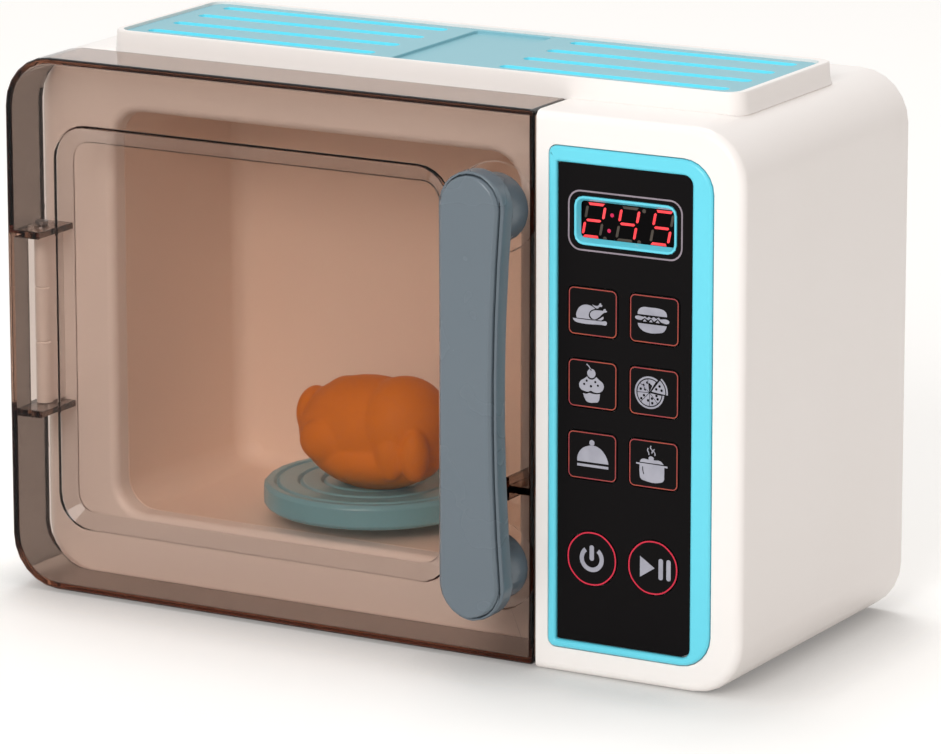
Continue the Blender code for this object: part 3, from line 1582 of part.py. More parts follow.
def main():
    clear_scene()
    body_shell()
    top_vent_panel()
    cavity_liner()
    hinge_pin()
    latch_catch()
    screws = [
        handle_screw("handle_screw_lower", HANDLE_POSTS_Z[0]),
        handle_screw("handle_screw_upper", HANDLE_POSTS_Z[1]),
    ]
    pivot("door_hinge", (HINGE[0], HINGE[1], 0), door_shell(), handle_back(), handle_cover(), *screws)
    table_gear, idler, pinion = gear_train()
    pivot(
        "turntable_axis",
        (TABLE_CENTRE[0], TABLE_CENTRE[1], 0),
        turntable_plate(),
        turntable_spindle(),
        table_gear,
        play_food(),
    )
    pivot("idler_axis", (IDLER_CENTRE[0], IDLER_CENTRE[1], 0), idler)
    pivot("pinion_axis", (PINION_CENTRE[0], PINION_CENTRE[1], 0), pinion)
    spindle_bush()
    idler_axle()
    gear_motor()
    control_bezel()
    control_overlay()
    display_bezel()
    display_window()
    display_module()
    keys()
    keypad_mat()
    circuit_board()
    rear_assembly()


main()
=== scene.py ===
import math

import bmesh
import bpy
from mathutils import Matrix, Vector


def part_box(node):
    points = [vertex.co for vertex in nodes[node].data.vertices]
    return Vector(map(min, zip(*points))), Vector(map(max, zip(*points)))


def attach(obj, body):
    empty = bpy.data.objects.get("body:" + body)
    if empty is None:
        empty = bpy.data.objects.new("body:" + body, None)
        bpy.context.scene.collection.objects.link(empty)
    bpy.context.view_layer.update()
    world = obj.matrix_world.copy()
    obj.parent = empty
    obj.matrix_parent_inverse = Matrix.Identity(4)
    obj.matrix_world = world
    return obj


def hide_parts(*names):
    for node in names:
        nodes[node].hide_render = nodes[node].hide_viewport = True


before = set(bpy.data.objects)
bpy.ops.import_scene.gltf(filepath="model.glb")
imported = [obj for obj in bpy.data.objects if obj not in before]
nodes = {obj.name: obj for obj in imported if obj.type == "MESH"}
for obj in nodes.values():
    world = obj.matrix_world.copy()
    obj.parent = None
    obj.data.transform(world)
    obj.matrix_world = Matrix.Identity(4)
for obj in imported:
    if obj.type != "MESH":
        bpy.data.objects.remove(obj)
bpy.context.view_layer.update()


# Camera. It stands to the right of the toy's front and a little above it, far away with a long
# lens, and its view is shifted as the photograph was cropped. Its angles are in degrees.
FRAME_WIDTH = 941
FOCAL_PIXELS = 5896.4
AXIS_FROM_CENTRE = (-75.3, -59.0)
SENSOR_WIDTH = 36.0
FAR_LIMIT = 50.0
CAMERA_PLACE = (0.89313, -1.56064, 0.50824)
CAMERA_TURN = 30.36
CAMERA_DIP = 13.06
CAMERA_ROLL = -0.22


def add_object(name, data):
    """A new object with this data, in the scene."""
    thing = bpy.data.objects.new(name, data)
    bpy.context.scene.collection.objects.link(thing)
    return thing


camera_data = bpy.data.cameras.new("camera")
camera_data.sensor_width = SENSOR_WIDTH
camera_data.lens = SENSOR_WIDTH * FOCAL_PIXELS / FRAME_WIDTH
camera_data.shift_x = -AXIS_FROM_CENTRE[0] / FRAME_WIDTH
camera_data.shift_y = AXIS_FROM_CENTRE[1] / FRAME_WIDTH
camera_data.clip_end = FAR_LIMIT
camera = add_object("camera", camera_data)
camera.matrix_world = (
    Matrix.Translation(CAMERA_PLACE)
    @ Matrix.Rotation(math.radians(CAMERA_TURN), 4, "Z")
    @ Matrix.Rotation(math.radians(90 - CAMERA_DIP), 4, "X")
    @ Matrix.Rotation(math.radians(CAMERA_ROLL), 4, "Z")
)
bpy.context.scene.camera = camera


# Studio. A large soft lamp in front, a weaker one overhead, and a pale room round them, which is
# a little brighter in front and on the left, and a little warmer on the right.
MM = 0.001
LAMP_AIM = Vector((0, 0, 80 * MM))
ROOM_LEVEL = 0.55
ROOM_FROM_LEFT = 0.08
ROOM_FROM_FRONT = 0.15
ROOM_TINT_LEFT = "FFFEFC"
ROOM_TINT_RIGHT = "FFF2EC"
SHOWN_WHITE = "FFFEFD"


def soft_lamp(name, place, size, power):
    """A round lamp, its place and size in metres and its power in watts, aimed at the toy."""
    lamp = bpy.data.lights.new(name, "AREA")
    lamp.shape = "DISK"
    lamp.size = size
    lamp.energy = power
    thing = add_object(name, lamp)
    thing.location = place
    thing.rotation_euler = (LAMP_AIM - Vector(place)).to_track_quat("-Z", "Y").to_euler()


def srgb(code):
    """The linear colour of a six-figure sRGB code."""
    parts = [int(code[place : place + 2], 16) / 255 for place in (0, 2, 4)]
    return [p / 12.92 if p <= 0.04045 else ((p + 0.055) / 1.055) ** 2.4 for p in parts] + [1.0]


def set_node(tree, node, settings=None, links=None):
    """Sets a node's properties and input values, and links its inputs.

    An input goes by its name or its number: 6 and 7 are the colours of a colour mix, whose result
    is output 2. A node given as a link stands for its first output.
    """
    for name, value in (settings or {}).items():
        if isinstance(name, int) or name in node.inputs:
            node.inputs[name].default_value = value
        else:
            setattr(node, name, value)
    for name, source in (links or {}).items():
        socket = source.outputs[0] if isinstance(source, bpy.types.Node) else source
        tree.links.new(node.inputs[name], socket)


def add_node(tree, kind, settings=None, links=None):
    """A new node with its settings and links."""
    node = tree.nodes.new(kind)
    set_node(tree, node, settings, links)
    return node


def shown_rays(tree):
    """One for rays from the camera, off a gloss or through a clear piece, and zero for the rest."""
    path = add_node(tree, "ShaderNodeLightPath")
    clear = add_node(
        tree,
        "ShaderNodeMath",
        {"operation": "MAXIMUM"},
        {0: path.outputs["Is Camera Ray"], 1: path.outputs["Is Transmission Ray"]},
    )
    return add_node(
        tree,
        "ShaderNodeMath",
        {"operation": "MAXIMUM"},
        {0: clear, 1: path.outputs["Is Glossy Ray"]},
    )


soft_lamp("front_lamp", place=(0.45, -2.65, 1.45), size=1.3, power=36)
soft_lamp("top_lamp", place=(-0.4, 0.5, 2.5), size=0.9, power=17)

bpy.context.scene.view_settings.view_transform = "Standard"
world = bpy.data.worlds.new("pale_room")
bpy.context.scene.world = world
world.use_nodes = True
tree = world.node_tree
tree.nodes.clear()
heading = add_node(tree, "ShaderNodeTexCoord")
across = add_node(tree, "ShaderNodeSeparateXYZ", {}, {"Vector": heading.outputs["Generated"]})
left = add_node(
    tree,
    "ShaderNodeMath",
    {"operation": "MULTIPLY_ADD", 1: -ROOM_FROM_LEFT, 2: ROOM_LEVEL},
    {0: across.outputs["X"]},
)
level = add_node(
    tree,
    "ShaderNodeMath",
    {"operation": "MULTIPLY_ADD", 1: -ROOM_FROM_FRONT},
    {0: across.outputs["Y"], 2: left},
)
warmth = add_node(
    tree,
    "ShaderNodeMix",
    {"data_type": "RGBA", 6: srgb(ROOM_TINT_LEFT), 7: srgb(ROOM_TINT_RIGHT)},
    {0: across.outputs["X"]},
)
room = add_node(tree, "ShaderNodeBackground", {}, {"Color": warmth.outputs[2], "Strength": level})
backdrop = add_node(tree, "ShaderNodeBackground", {"Color": srgb(SHOWN_WHITE), "Strength": 1.0})
mixed = add_node(tree, "ShaderNodeMixShader", {}, {0: shown_rays(tree), 1: room, 2: backdrop})
add_node(tree, "ShaderNodeOutputWorld", {}, {"Surface": mixed})


# Floor. A wide sheet of matt uncoated paper just under the base, with fibres about a millimetre
# apart. For the rays that are seen its contact shadow is a little deeper, and it glows to white.
PAPER = "F8F7F5"
PAPER_SHADE = "AFAEAC"
PAPER_HALF_SIDE = 4.0
PAPER_CELLS = 8
PAPER_DROP = 0.1 * MM
FIBRES_PER_METRE = 900.0
FIBRE_HEIGHT = 0.1 * MM
FIBRE_STRENGTH = 0.2
SHADE_REACH = 30 * MM
SHADE_SAMPLES = 8
SHADE_FULL = 0.3
PAPER_GLOW = 0.185


def add_shape(name, work, *materials):
    """An object made from a bmesh, which is then freed, with these materials."""
    mesh = bpy.data.meshes.new(name)
    work.to_mesh(mesh)
    work.free()
    for material in materials:
        mesh.materials.append(material)
    return add_object(name, mesh)


def new_material(name, bare=False):
    """A material, its node tree and its Object coordinates. A bare one has no shader yet."""
    material = bpy.data.materials.new(name)
    material.use_nodes = True
    tree = material.node_tree
    if bare:
        tree.nodes.clear()
    place = add_node(tree, "ShaderNodeTexCoord")
    return material, tree, place.outputs["Object"]


paper, tree, place = new_material("matt_paper", bare=True)
fibre = add_node(tree, "ShaderNodeTexNoise", {"Scale": FIBRES_PER_METRE, "Detail": 3.0}, {"Vector": place})
relief = add_node(
    tree,
    "ShaderNodeBump",
    {"Strength": FIBRE_STRENGTH, "Distance": FIBRE_HEIGHT},
    {"Height": fibre},
)
matt = add_node(tree, "ShaderNodeBsdfDiffuse", {"Color": srgb(PAPER)}, {"Normal": relief})
nook = add_node(tree, "ShaderNodeAmbientOcclusion", {"samples": SHADE_SAMPLES, "Distance": SHADE_REACH})
open_part = add_node(tree, "ShaderNodeMapRange", {"From Min": SHADE_FULL}, {"Value": nook.outputs["AO"]})
shade = add_node(
    tree,
    "ShaderNodeMix",
    {"data_type": "RGBA", 6: srgb(PAPER_SHADE), 7: srgb(PAPER)},
    {0: open_part},
)
seen = add_node(tree, "ShaderNodeBsdfDiffuse", {}, {"Color": shade.outputs[2], "Normal": relief})
glow = add_node(tree, "ShaderNodeEmission", {"Color": srgb(SHOWN_WHITE), "Strength": PAPER_GLOW})
both = add_node(tree, "ShaderNodeAddShader", {}, {0: seen, 1: glow})
mixed = add_node(tree, "ShaderNodeMixShader", {}, {0: shown_rays(tree), 1: matt, 2: both})
add_node(tree, "ShaderNodeOutputMaterial", {}, {"Surface": mixed})

sheet = bmesh.new()
bmesh.ops.create_grid(sheet, x_segments=PAPER_CELLS, y_segments=PAPER_CELLS, size=PAPER_HALF_SIDE)
bmesh.ops.translate(sheet, verts=sheet.verts, vec=(0, 0, -PAPER_DROP))
add_shape("floor", sheet, paper)


# Housing. Injection-moulded white ABS: the shell with the roof and sides, and the back cover with
# its battery lid. The polished tool leaves a soft gloss with very slight ripple.
MICRON = MM / 1000
DRIFT_SIZE = 55 * MM
SMEAR_SIZE = 18 * MM
RIPPLE_SIZE = 12 * MM
# The real grain is finer. This one is as coarse as it needs to be to show.
GRAIN_SIZE = 0.6 * MM
ROUGH_SPREAD = 0.02
MERGE_DISTANCE = 0.1 * MICRON
FLAT_ANGLE = math.radians(0.4)
SOFT_EDGE = 0.25 * MM
EDGE_STEPS = 2
NORMAL_WEIGHT = 90


def moulded_plastic(name, code, shade, rough, ripple=8, grain=1.2, shine=0.5):
    """Moulded plastic: even colour with a faint drift, hazy gloss, slow ripple and a fine grain.

    The heights of the ripple and the grain are in microns.
    """
    material, tree, place = new_material(name)
    drift = add_node(tree, "ShaderNodeTexNoise", {"Scale": 1 / DRIFT_SIZE, "Detail": 2.0}, {"Vector": place})
    smear = add_node(tree, "ShaderNodeTexNoise", {"Scale": 1 / SMEAR_SIZE, "Detail": 2.0}, {"Vector": place})
    wave = add_node(tree, "ShaderNodeTexNoise", {"Scale": 1 / RIPPLE_SIZE, "Detail": 1.0}, {"Vector": place})
    grit = add_node(tree, "ShaderNodeTexNoise", {"Scale": 1 / GRAIN_SIZE, "Detail": 2.0}, {"Vector": place})
    tint = add_node(tree, "ShaderNodeMix", {"data_type": "RGBA", 6: srgb(code), 7: srgb(shade)}, {0: drift})
    polish = add_node(
        tree,
        "ShaderNodeMapRange",
        {"To Min": rough - ROUGH_SPREAD, "To Max": rough + ROUGH_SPREAD},
        {"Value": smear},
    )
    slow = add_node(
        tree,
        "ShaderNodeBump",
        {"Strength": 1.0, "Distance": ripple * MICRON},
        {"Height": wave},
    )
    fine = add_node(
        tree,
        "ShaderNodeBump",
        {"Strength": 1.0, "Distance": grain * MICRON},
        {"Height": grit, "Normal": slow},
    )
    set_node(
        tree,
        tree.nodes["Principled BSDF"],
        {"Specular IOR Level": shine},
        {"Base Color": tint.outputs[2], "Roughness": polish, "Normal": fine},
    )
    return material


def finer(body, name, *materials, edge=SOFT_EDGE, crease=38, pick=None):
    """A finer copy of a CAD piece: whole faces, softened edges and smooth curves.

    Edges that turn by more than the crease's degrees stay sharp, and pick says which material a
    face has.
    """
    crease_angle = math.radians(crease)
    work = bmesh.new()
    work.from_mesh(nodes[name].data)
    bmesh.ops.remove_doubles(work, verts=work.verts, dist=MERGE_DISTANCE)
    bmesh.ops.dissolve_limit(work, angle_limit=FLAT_ANGLE, verts=work.verts, edges=work.edges)
    many_sided = [side for side in work.faces if len(side.verts) > 4]
    bmesh.ops.triangulate(work, faces=many_sided, quad_method="BEAUTY", ngon_method="BEAUTY")
    bmesh.ops.recalc_face_normals(work, faces=work.faces)
    for side in work.faces:
        side.smooth = True
        side.material_index = pick(side) if pick else 0
    for line in work.edges:
        line.smooth = len(line.link_faces) == 2 and line.calc_face_angle() < crease_angle
    piece = add_shape(name + "_fine", work, *materials)
    attributes = piece.data.attributes
    if "custom_normal" in attributes:
        attributes.remove(attributes["custom_normal"])
    if edge:
        soften = piece.modifiers.new("soft_edges", "BEVEL")
        soften.limit_method = "ANGLE"
        soften.angle_limit = crease_angle
        soften.width = edge
        soften.segments = EDGE_STEPS
        soften.use_clamp_overlap = False
        soften.miter_outer = "MITER_ARC"
    normals = piece.modifiers.new("even_normals", "WEIGHTED_NORMAL")
    normals.keep_sharp = True
    normals.weight = NORMAL_WEIGHT
    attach(piece, body)
    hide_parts(name)


# The shell's edges are round in the CAD already, and a bevel tears at the platform's corner.
white_abs = moulded_plastic("white_abs", "F9F4F1", "F6F1ED", rough=0.3)
finer("housing", "body_shell", white_abs, edge=0)
finer("housing", "rear_cover", white_abs)
finer("housing", "battery_door", white_abs)


# Roof inlay. A sheet of light blue ABS, moulded with its grooves and laid into the platform. The
# grooves get a brighter copy of the blue than the lands between them and the sunk field in the
# middle: painted highlight for the light that their walls catch.
INLAY_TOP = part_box("top_vent_panel")[1].z
LAND_DEPTH = 0.2 * MM
FIELD_LEFT = -5.5 * MM
FIELD_RIGHT = 22.5 * MM


def inlay_highlight_side(side):
    """Which skin a face of the inlay has: 0 on the lands and in the field, 1 in the grooves, painted
    highlight.
    """
    middle = side.calc_center_median()
    sunk = middle.z < INLAY_TOP - LAND_DEPTH
    return int(sunk and not FIELD_LEFT < middle.x < FIELD_RIGHT)


land_abs = moulded_plastic("light_blue_land", "8CC2CE", "86BCC9", rough=0.5)
# The grooves' brighter blue is painted highlight.
groove_highlight_abs = moulded_plastic("light_blue_groove_highlight", "78E6F6", "70E0F2", rough=0.4)
finer("housing", "top_vent_panel", land_abs, groove_highlight_abs, pick=inlay_highlight_side)


# Oven box. A pale cream polystyrene cup, moulded with draft, its inside satin.
cream_styrene = moulded_plastic("cream_styrene", "FAEADD", "F6E3D4", rough=0.42)
finer("housing", "cavity_liner", cream_styrene)


# Door. One piece of smoked brown polystyrene with 2 mm walls, so its edges look nearly black
# while its faces let the oven show. Its slope round the window, the walls of its hinge half and
# its other edge faces get darker copies of the skin, painted shade that deepens those dark edges,
# and the slope and the other edges mirror more.
SMOKED_SKIN = "F3EAE5"
BROWN_DYE = "C98930"
DYE_DENSITY = 120.0
CLEAR_SHADOW = "FCFCFC"
STYRENE_IOR = 1.59
STYRENE_ROUGH = 0.03
DOOR_RIPPLE = 6 * MICRON
DOOR_WAVE_SIZE = 30 * MM
DOOR_CREASE = 22
# The least share of a face's normal that makes it a broad face, a slope or an end.
BROAD_FROM = 0.95
SLOPED_FROM = 0.3
END_FROM = 0.7
door_low, door_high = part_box("door_shell")
DOOR_MIDDLE = (door_low.x + door_high.x) / 2


def smoked(name, passed, mirrored=0.2):
    """Clear styrene with a brown dye: its body absorbs, and its skin holds back a share too.

    The two shares are of the light that the skin passes and of the gloss that clear styrene has.
    """
    material, tree, place = new_material(name, bare=True)
    path = add_node(tree, "ShaderNodeLightPath")
    wave = add_node(
        tree,
        "ShaderNodeTexNoise",
        {"Scale": 1 / DOOR_WAVE_SIZE, "Detail": 1.0},
        {"Vector": place},
    )
    slow = add_node(tree, "ShaderNodeBump", {"Strength": 1.0, "Distance": DOOR_RIPPLE}, {"Height": wave})
    clear = add_node(
        tree,
        "ShaderNodeBsdfPrincipled",
        {
            "Base Color": [part * passed for part in srgb(SMOKED_SKIN)[:3]] + [1.0],
            "Roughness": STYRENE_ROUGH,
            "IOR": STYRENE_IOR,
            "Transmission Weight": 1.0,
            "Specular Tint": (mirrored, mirrored, mirrored, 1.0),
        },
        {"Normal": slow},
    )
    passing = add_node(tree, "ShaderNodeBsdfTransparent", {"Color": srgb(CLEAR_SHADOW)})
    mixed = add_node(
        tree,
        "ShaderNodeMixShader",
        {},
        {0: path.outputs["Is Shadow Ray"], 1: clear, 2: passing},
    )
    dye = add_node(tree, "ShaderNodeVolumeAbsorption", {"Color": srgb(BROWN_DYE), "Density": DYE_DENSITY})
    add_node(tree, "ShaderNodeOutputMaterial", {}, {"Surface": mixed, "Volume": dye})
    return material


def door_skin_shade(side):
    """Which skin a face has: 0 broad, then with painted shade 1 the window's slope, 2 walls of the hinge
    half, 3 the rest.
    """
    if abs(side.normal.y) > BROAD_FROM:
        return 0
    if abs(side.normal.y) > SLOPED_FROM:
        return 1
    hinge_half = side.calc_center_median().x < DOOR_MIDDLE
    return 2 if hinge_half and abs(side.normal.x) > END_FROM else 3


finer(
    "door",
    "door_shell",
    smoked("smoked_styrene", passed=0.72),
    # The darker skins paint shade on the window's slope, the hinge half's walls and the other edges.
    smoked("smoked_styrene_slope_shade", passed=0.62, mirrored=0.3),
    smoked("smoked_styrene_end_shade", passed=0.3),
    smoked("smoked_styrene_edge_shade", passed=0.62, mirrored=0.7),
    crease=DOOR_CREASE,
    pick=door_skin_shade,
)


# Hinge pin, latch clip, screws and contacts. Zinc-plated steel, turned or folded from strip, so
# it is bright with a slight brushed unevenness. These pieces keep their CAD shapes.
STEEL_SHADE = "8F9398"
# Coarser than real tool marks, which wouldn't show.
BRUSH_SIZE = 0.8 * MM
BRIGHTER = 0.08
DULLER = 0.12
REAR_SCREWS = 6


def plated_steel(name, code, rough):
    """Plated steel: a fine mottle in colour and gloss."""
    material, tree, place = new_material(name)
    marks = add_node(tree, "ShaderNodeTexNoise", {"Scale": 1 / BRUSH_SIZE, "Detail": 3.0}, {"Vector": place})
    tint = add_node(
        tree,
        "ShaderNodeMix",
        {"data_type": "RGBA", 6: srgb(code), 7: srgb(STEEL_SHADE)},
        {0: marks},
    )
    polish = add_node(
        tree,
        "ShaderNodeMapRange",
        {"To Min": rough - BRIGHTER, "To Max": rough + DULLER},
        {"Value": marks},
    )
    set_node(
        tree,
        tree.nodes["Principled BSDF"],
        {"Metallic": 1.0},
        {"Base Color": tint.outputs[2], "Roughness": polish},
    )
    return material


def dress(material, *names):
    """Gives CAD nodes a better material in their own slots."""
    for name in names:
        for slot in nodes[name].material_slots:
            slot.material = material


steel = plated_steel("zinc_plated_steel", "C4C7CA", rough=0.28)
dress(steel, "hinge_pin", "latch_catch", "handle_screw_lower", "handle_screw_upper", "idler_axle")
dress(steel, "contact_left", "contact_right", "battery_door_screw")
for number in range(1, REAR_SCREWS + 1):
    dress(steel, f"rear_screw_{number}")


# Handle. Two mouldings of slate grey ABS: a bowed bar on two posts, and a narrower front plate
# that is snapped into it and stands a little proud.
grey_abs = moulded_plastic("slate_grey_abs", "65717A", "606C75", rough=0.27)
finer("door", "handle_back", grey_abs)
finer("door", "handle_cover", grey_abs)


# Control panel. A light blue ABS frame, a black printed film on its plate and on the keys, and a
# blue well with sloped walls round the display.
FILM_SHADE = "0C0A0B"
FILM_PATCH = 30 * MM
FILM_HAZE = 0.06
KEYS = ("roast", "burger", "cupcake", "pizza", "cloche", "pot", "power", "play")
ROUND_KEYS = ("power", "play")


def black_film(name, code, rough, shine):
    """Black hard-coated polyester film: deep, even, with a slightly hazy gloss."""
    material, tree, place = new_material(name)
    drift = add_node(tree, "ShaderNodeTexNoise", {"Scale": 1 / FILM_PATCH, "Detail": 3.0}, {"Vector": place})
    tint = add_node(
        tree,
        "ShaderNodeMix",
        {"data_type": "RGBA", 6: srgb(code), 7: srgb(FILM_SHADE)},
        {0: drift},
    )
    polish = add_node(
        tree,
        "ShaderNodeMapRange",
        {"To Min": rough - FILM_HAZE, "To Max": rough + FILM_HAZE},
        {"Value": drift},
    )
    set_node(
        tree,
        tree.nodes["Principled BSDF"],
        {"Specular IOR Level": shine},
        {"Base Color": tint.outputs[2], "Roughness": polish},
    )
    return material


blue_abs = moulded_plastic("light_blue_abs", "6BDCF0", "62D6EC", rough=0.3)
finer("housing", "control_bezel", blue_abs)
finer("housing", "display_bezel", blue_abs)
film = black_film("black_film", "0F0D0E", rough=0.35, shine=0.06)
finer("housing", "control_overlay", film, edge=0)
for key in KEYS:
    finer(f"{key}_key", f"key_{key}", film, edge=0)


# Prints on the film. Thin screen-printed inks: a grey rounded line round the display, a red
# outline on each key and a pale grey symbol inside it. Outlines are in millimetres.
INK = 0.04 * MM
INK_PATCH = 6 * MM
INK_ROUGH = 0.5
INK_SHINE = 0.2
PATCH_FROM = 0.35
PATCH_TO = 0.65
CURVE_STEPS = 6
DISC_POINTS = 8
CORNER_STEPS = 8
DISPLAY_MARGIN = (2.05, 1.8)
DISPLAY_RADIUS = 4.2
DISPLAY_STROKE = 0.5


def ink(name, code, other, glow=0.0):
    """Screen ink: matt, its colour slightly uneven along the stroke."""
    material, tree, place = new_material(name)
    patch = add_node(tree, "ShaderNodeTexNoise", {"Scale": 1 / INK_PATCH, "Detail": 2.0}, {"Vector": place})
    spread = add_node(
        tree,
        "ShaderNodeMapRange",
        {"From Min": PATCH_FROM, "From Max": PATCH_TO},
        {"Value": patch},
    )
    tint = add_node(tree, "ShaderNodeMix", {"data_type": "RGBA", 6: srgb(code), 7: srgb(other)}, {0: spread})
    shader = tree.nodes["Principled BSDF"]
    set_node(
        tree,
        shader,
        {"Roughness": INK_ROUGH, "Specular IOR Level": INK_SHINE},
        {"Base Color": tint.outputs[2]},
    )
    if glow:
        set_node(tree, shader, {"Emission Strength": glow}, {"Emission Color": tint.outputs[2]})
    return material


def print_on(name, shapes, centre, material, body):
    """A thin print from closed outlines, where an outline inside another is a hole.

    A point with a third value is a corner, and the others are joined by smooth curves.
    """
    drawing = bpy.data.curves.new(name, "CURVE")
    drawing.dimensions = "2D"
    drawing.fill_mode = "BOTH"
    drawing.extrude = INK / 2
    drawing.resolution_u = CURVE_STEPS
    for points in shapes:
        spline = drawing.splines.new("BEZIER")
        spline.bezier_points.add(len(points) - 1)
        for knot, point in zip(spline.bezier_points, points):
            knot.co = (point[0] * MM, point[1] * MM, 0)
            kind = "VECTOR" if len(point) > 2 else "AUTO"
            knot.handle_left_type = knot.handle_right_type = kind
        spline.use_cyclic_u = True
    flat = add_object(name + "_drawing", drawing)
    bpy.context.view_layer.update()
    mesh = bpy.data.meshes.new_from_object(flat)
    bpy.data.objects.remove(flat)
    mesh.name = name
    mesh.transform(Matrix.Translation(centre) @ Matrix.Rotation(math.pi / 2, 4, "X"))
    mesh.materials.clear()
    mesh.materials.append(material)
    piece = add_object(name, mesh)
    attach(piece, body)


def disc(x, z, radius):
    """A round outline."""
    turns = [2 * math.pi * step / DISC_POINTS for step in range(DISC_POINTS)]
    return [(x + radius * math.cos(turn), z + radius * math.sin(turn)) for turn in turns]


def round_box(left, right, low, high, radius):
    """A rectangle with round corners, as corner points close together."""
    near, far, bottom, top = left + radius, right - radius, low + radius, high - radius
    points = []
    for turn, (x, z) in enumerate(((near, bottom), (far, bottom), (far, top), (near, top))):
        for step in range(CORNER_STEPS + 1):
            angle = math.pi * (1 + (turn + step / CORNER_STEPS) / 2)
            points.append((x + radius * math.cos(angle), z + radius * math.sin(angle), 0))
    return points


def box_line(wide, tall, radius, width):
    """The two edges of a line of this width round a rectangle that is given by its half sizes."""
    return [
        round_box(inward - wide, wide - inward, inward - tall, tall - inward, radius - inward)
        for inward in (0, width)
    ]


def stroke(points, width):
    """The outline of a line of even width through the points."""
    sides = ([], [])
    for place, (x, z) in enumerate(points):
        before = points[max(place - 1, 0)]
        after = points[min(place + 1, len(points) - 1)]
        along = Vector((after[0] - before[0], after[1] - before[1])).normalized() * width / 2
        at_end = place in (0, len(points) - 1)
        for side, sign in zip(sides, (1, -1)):
            point = (x - sign * along.y, z + sign * along.x)
            side.append(point + (0,) if at_end else point)
    return sides[0] + sides[1][::-1]


def arc(x, z, radius, start, end, steps):
    """Corner points along an arc between two turns in degrees."""
    turns = [math.radians(start + (end - start) * step / steps) for step in range(steps + 1)]
    return [(x + radius * math.cos(turn), z + radius * math.sin(turn), 0) for turn in turns]


def arc_band(x, z, inner, outer, start, end, steps=14):
    """A bent bar between two radii."""
    return arc(x, z, outer, start, end, steps) + arc(x, z, inner, start, end, steps)[::-1]


def wedge(x, z, radius, start, end, steps=10):
    """A slice of a disc."""
    return [(x, z, 0)] + arc(x, z, radius, start, end, steps)


def corners(points):
    """An outline of corners only."""
    return [(x, z, 0) for x, z in points]


grey_ink = ink("grey_ink", "A9A9B4", "9C9CA8")
red_ink = ink("red_ink", "A9503F", "9C4046")
crimson_ink = ink("crimson_ink", "D9324A", "CC2D45")
line_ink = ink("line_ink", "9A8F99", "8E848E")

FILM_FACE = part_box("control_overlay")[0].y - INK / 2
well_low, well_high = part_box("display_bezel")
well_wide = (well_high.x - well_low.x) / 2 / MM
well_tall = (well_high.z - well_low.z) / 2 / MM
print_on(
    "display_line",
    box_line(
        well_wide + DISPLAY_MARGIN[0],
        well_tall + DISPLAY_MARGIN[1],
        DISPLAY_RADIUS,
        DISPLAY_STROKE,
    ),
    ((well_low.x + well_high.x) / 2, FILM_FACE, (well_low.z + well_high.z) / 2),
    line_ink,
    "housing",
)

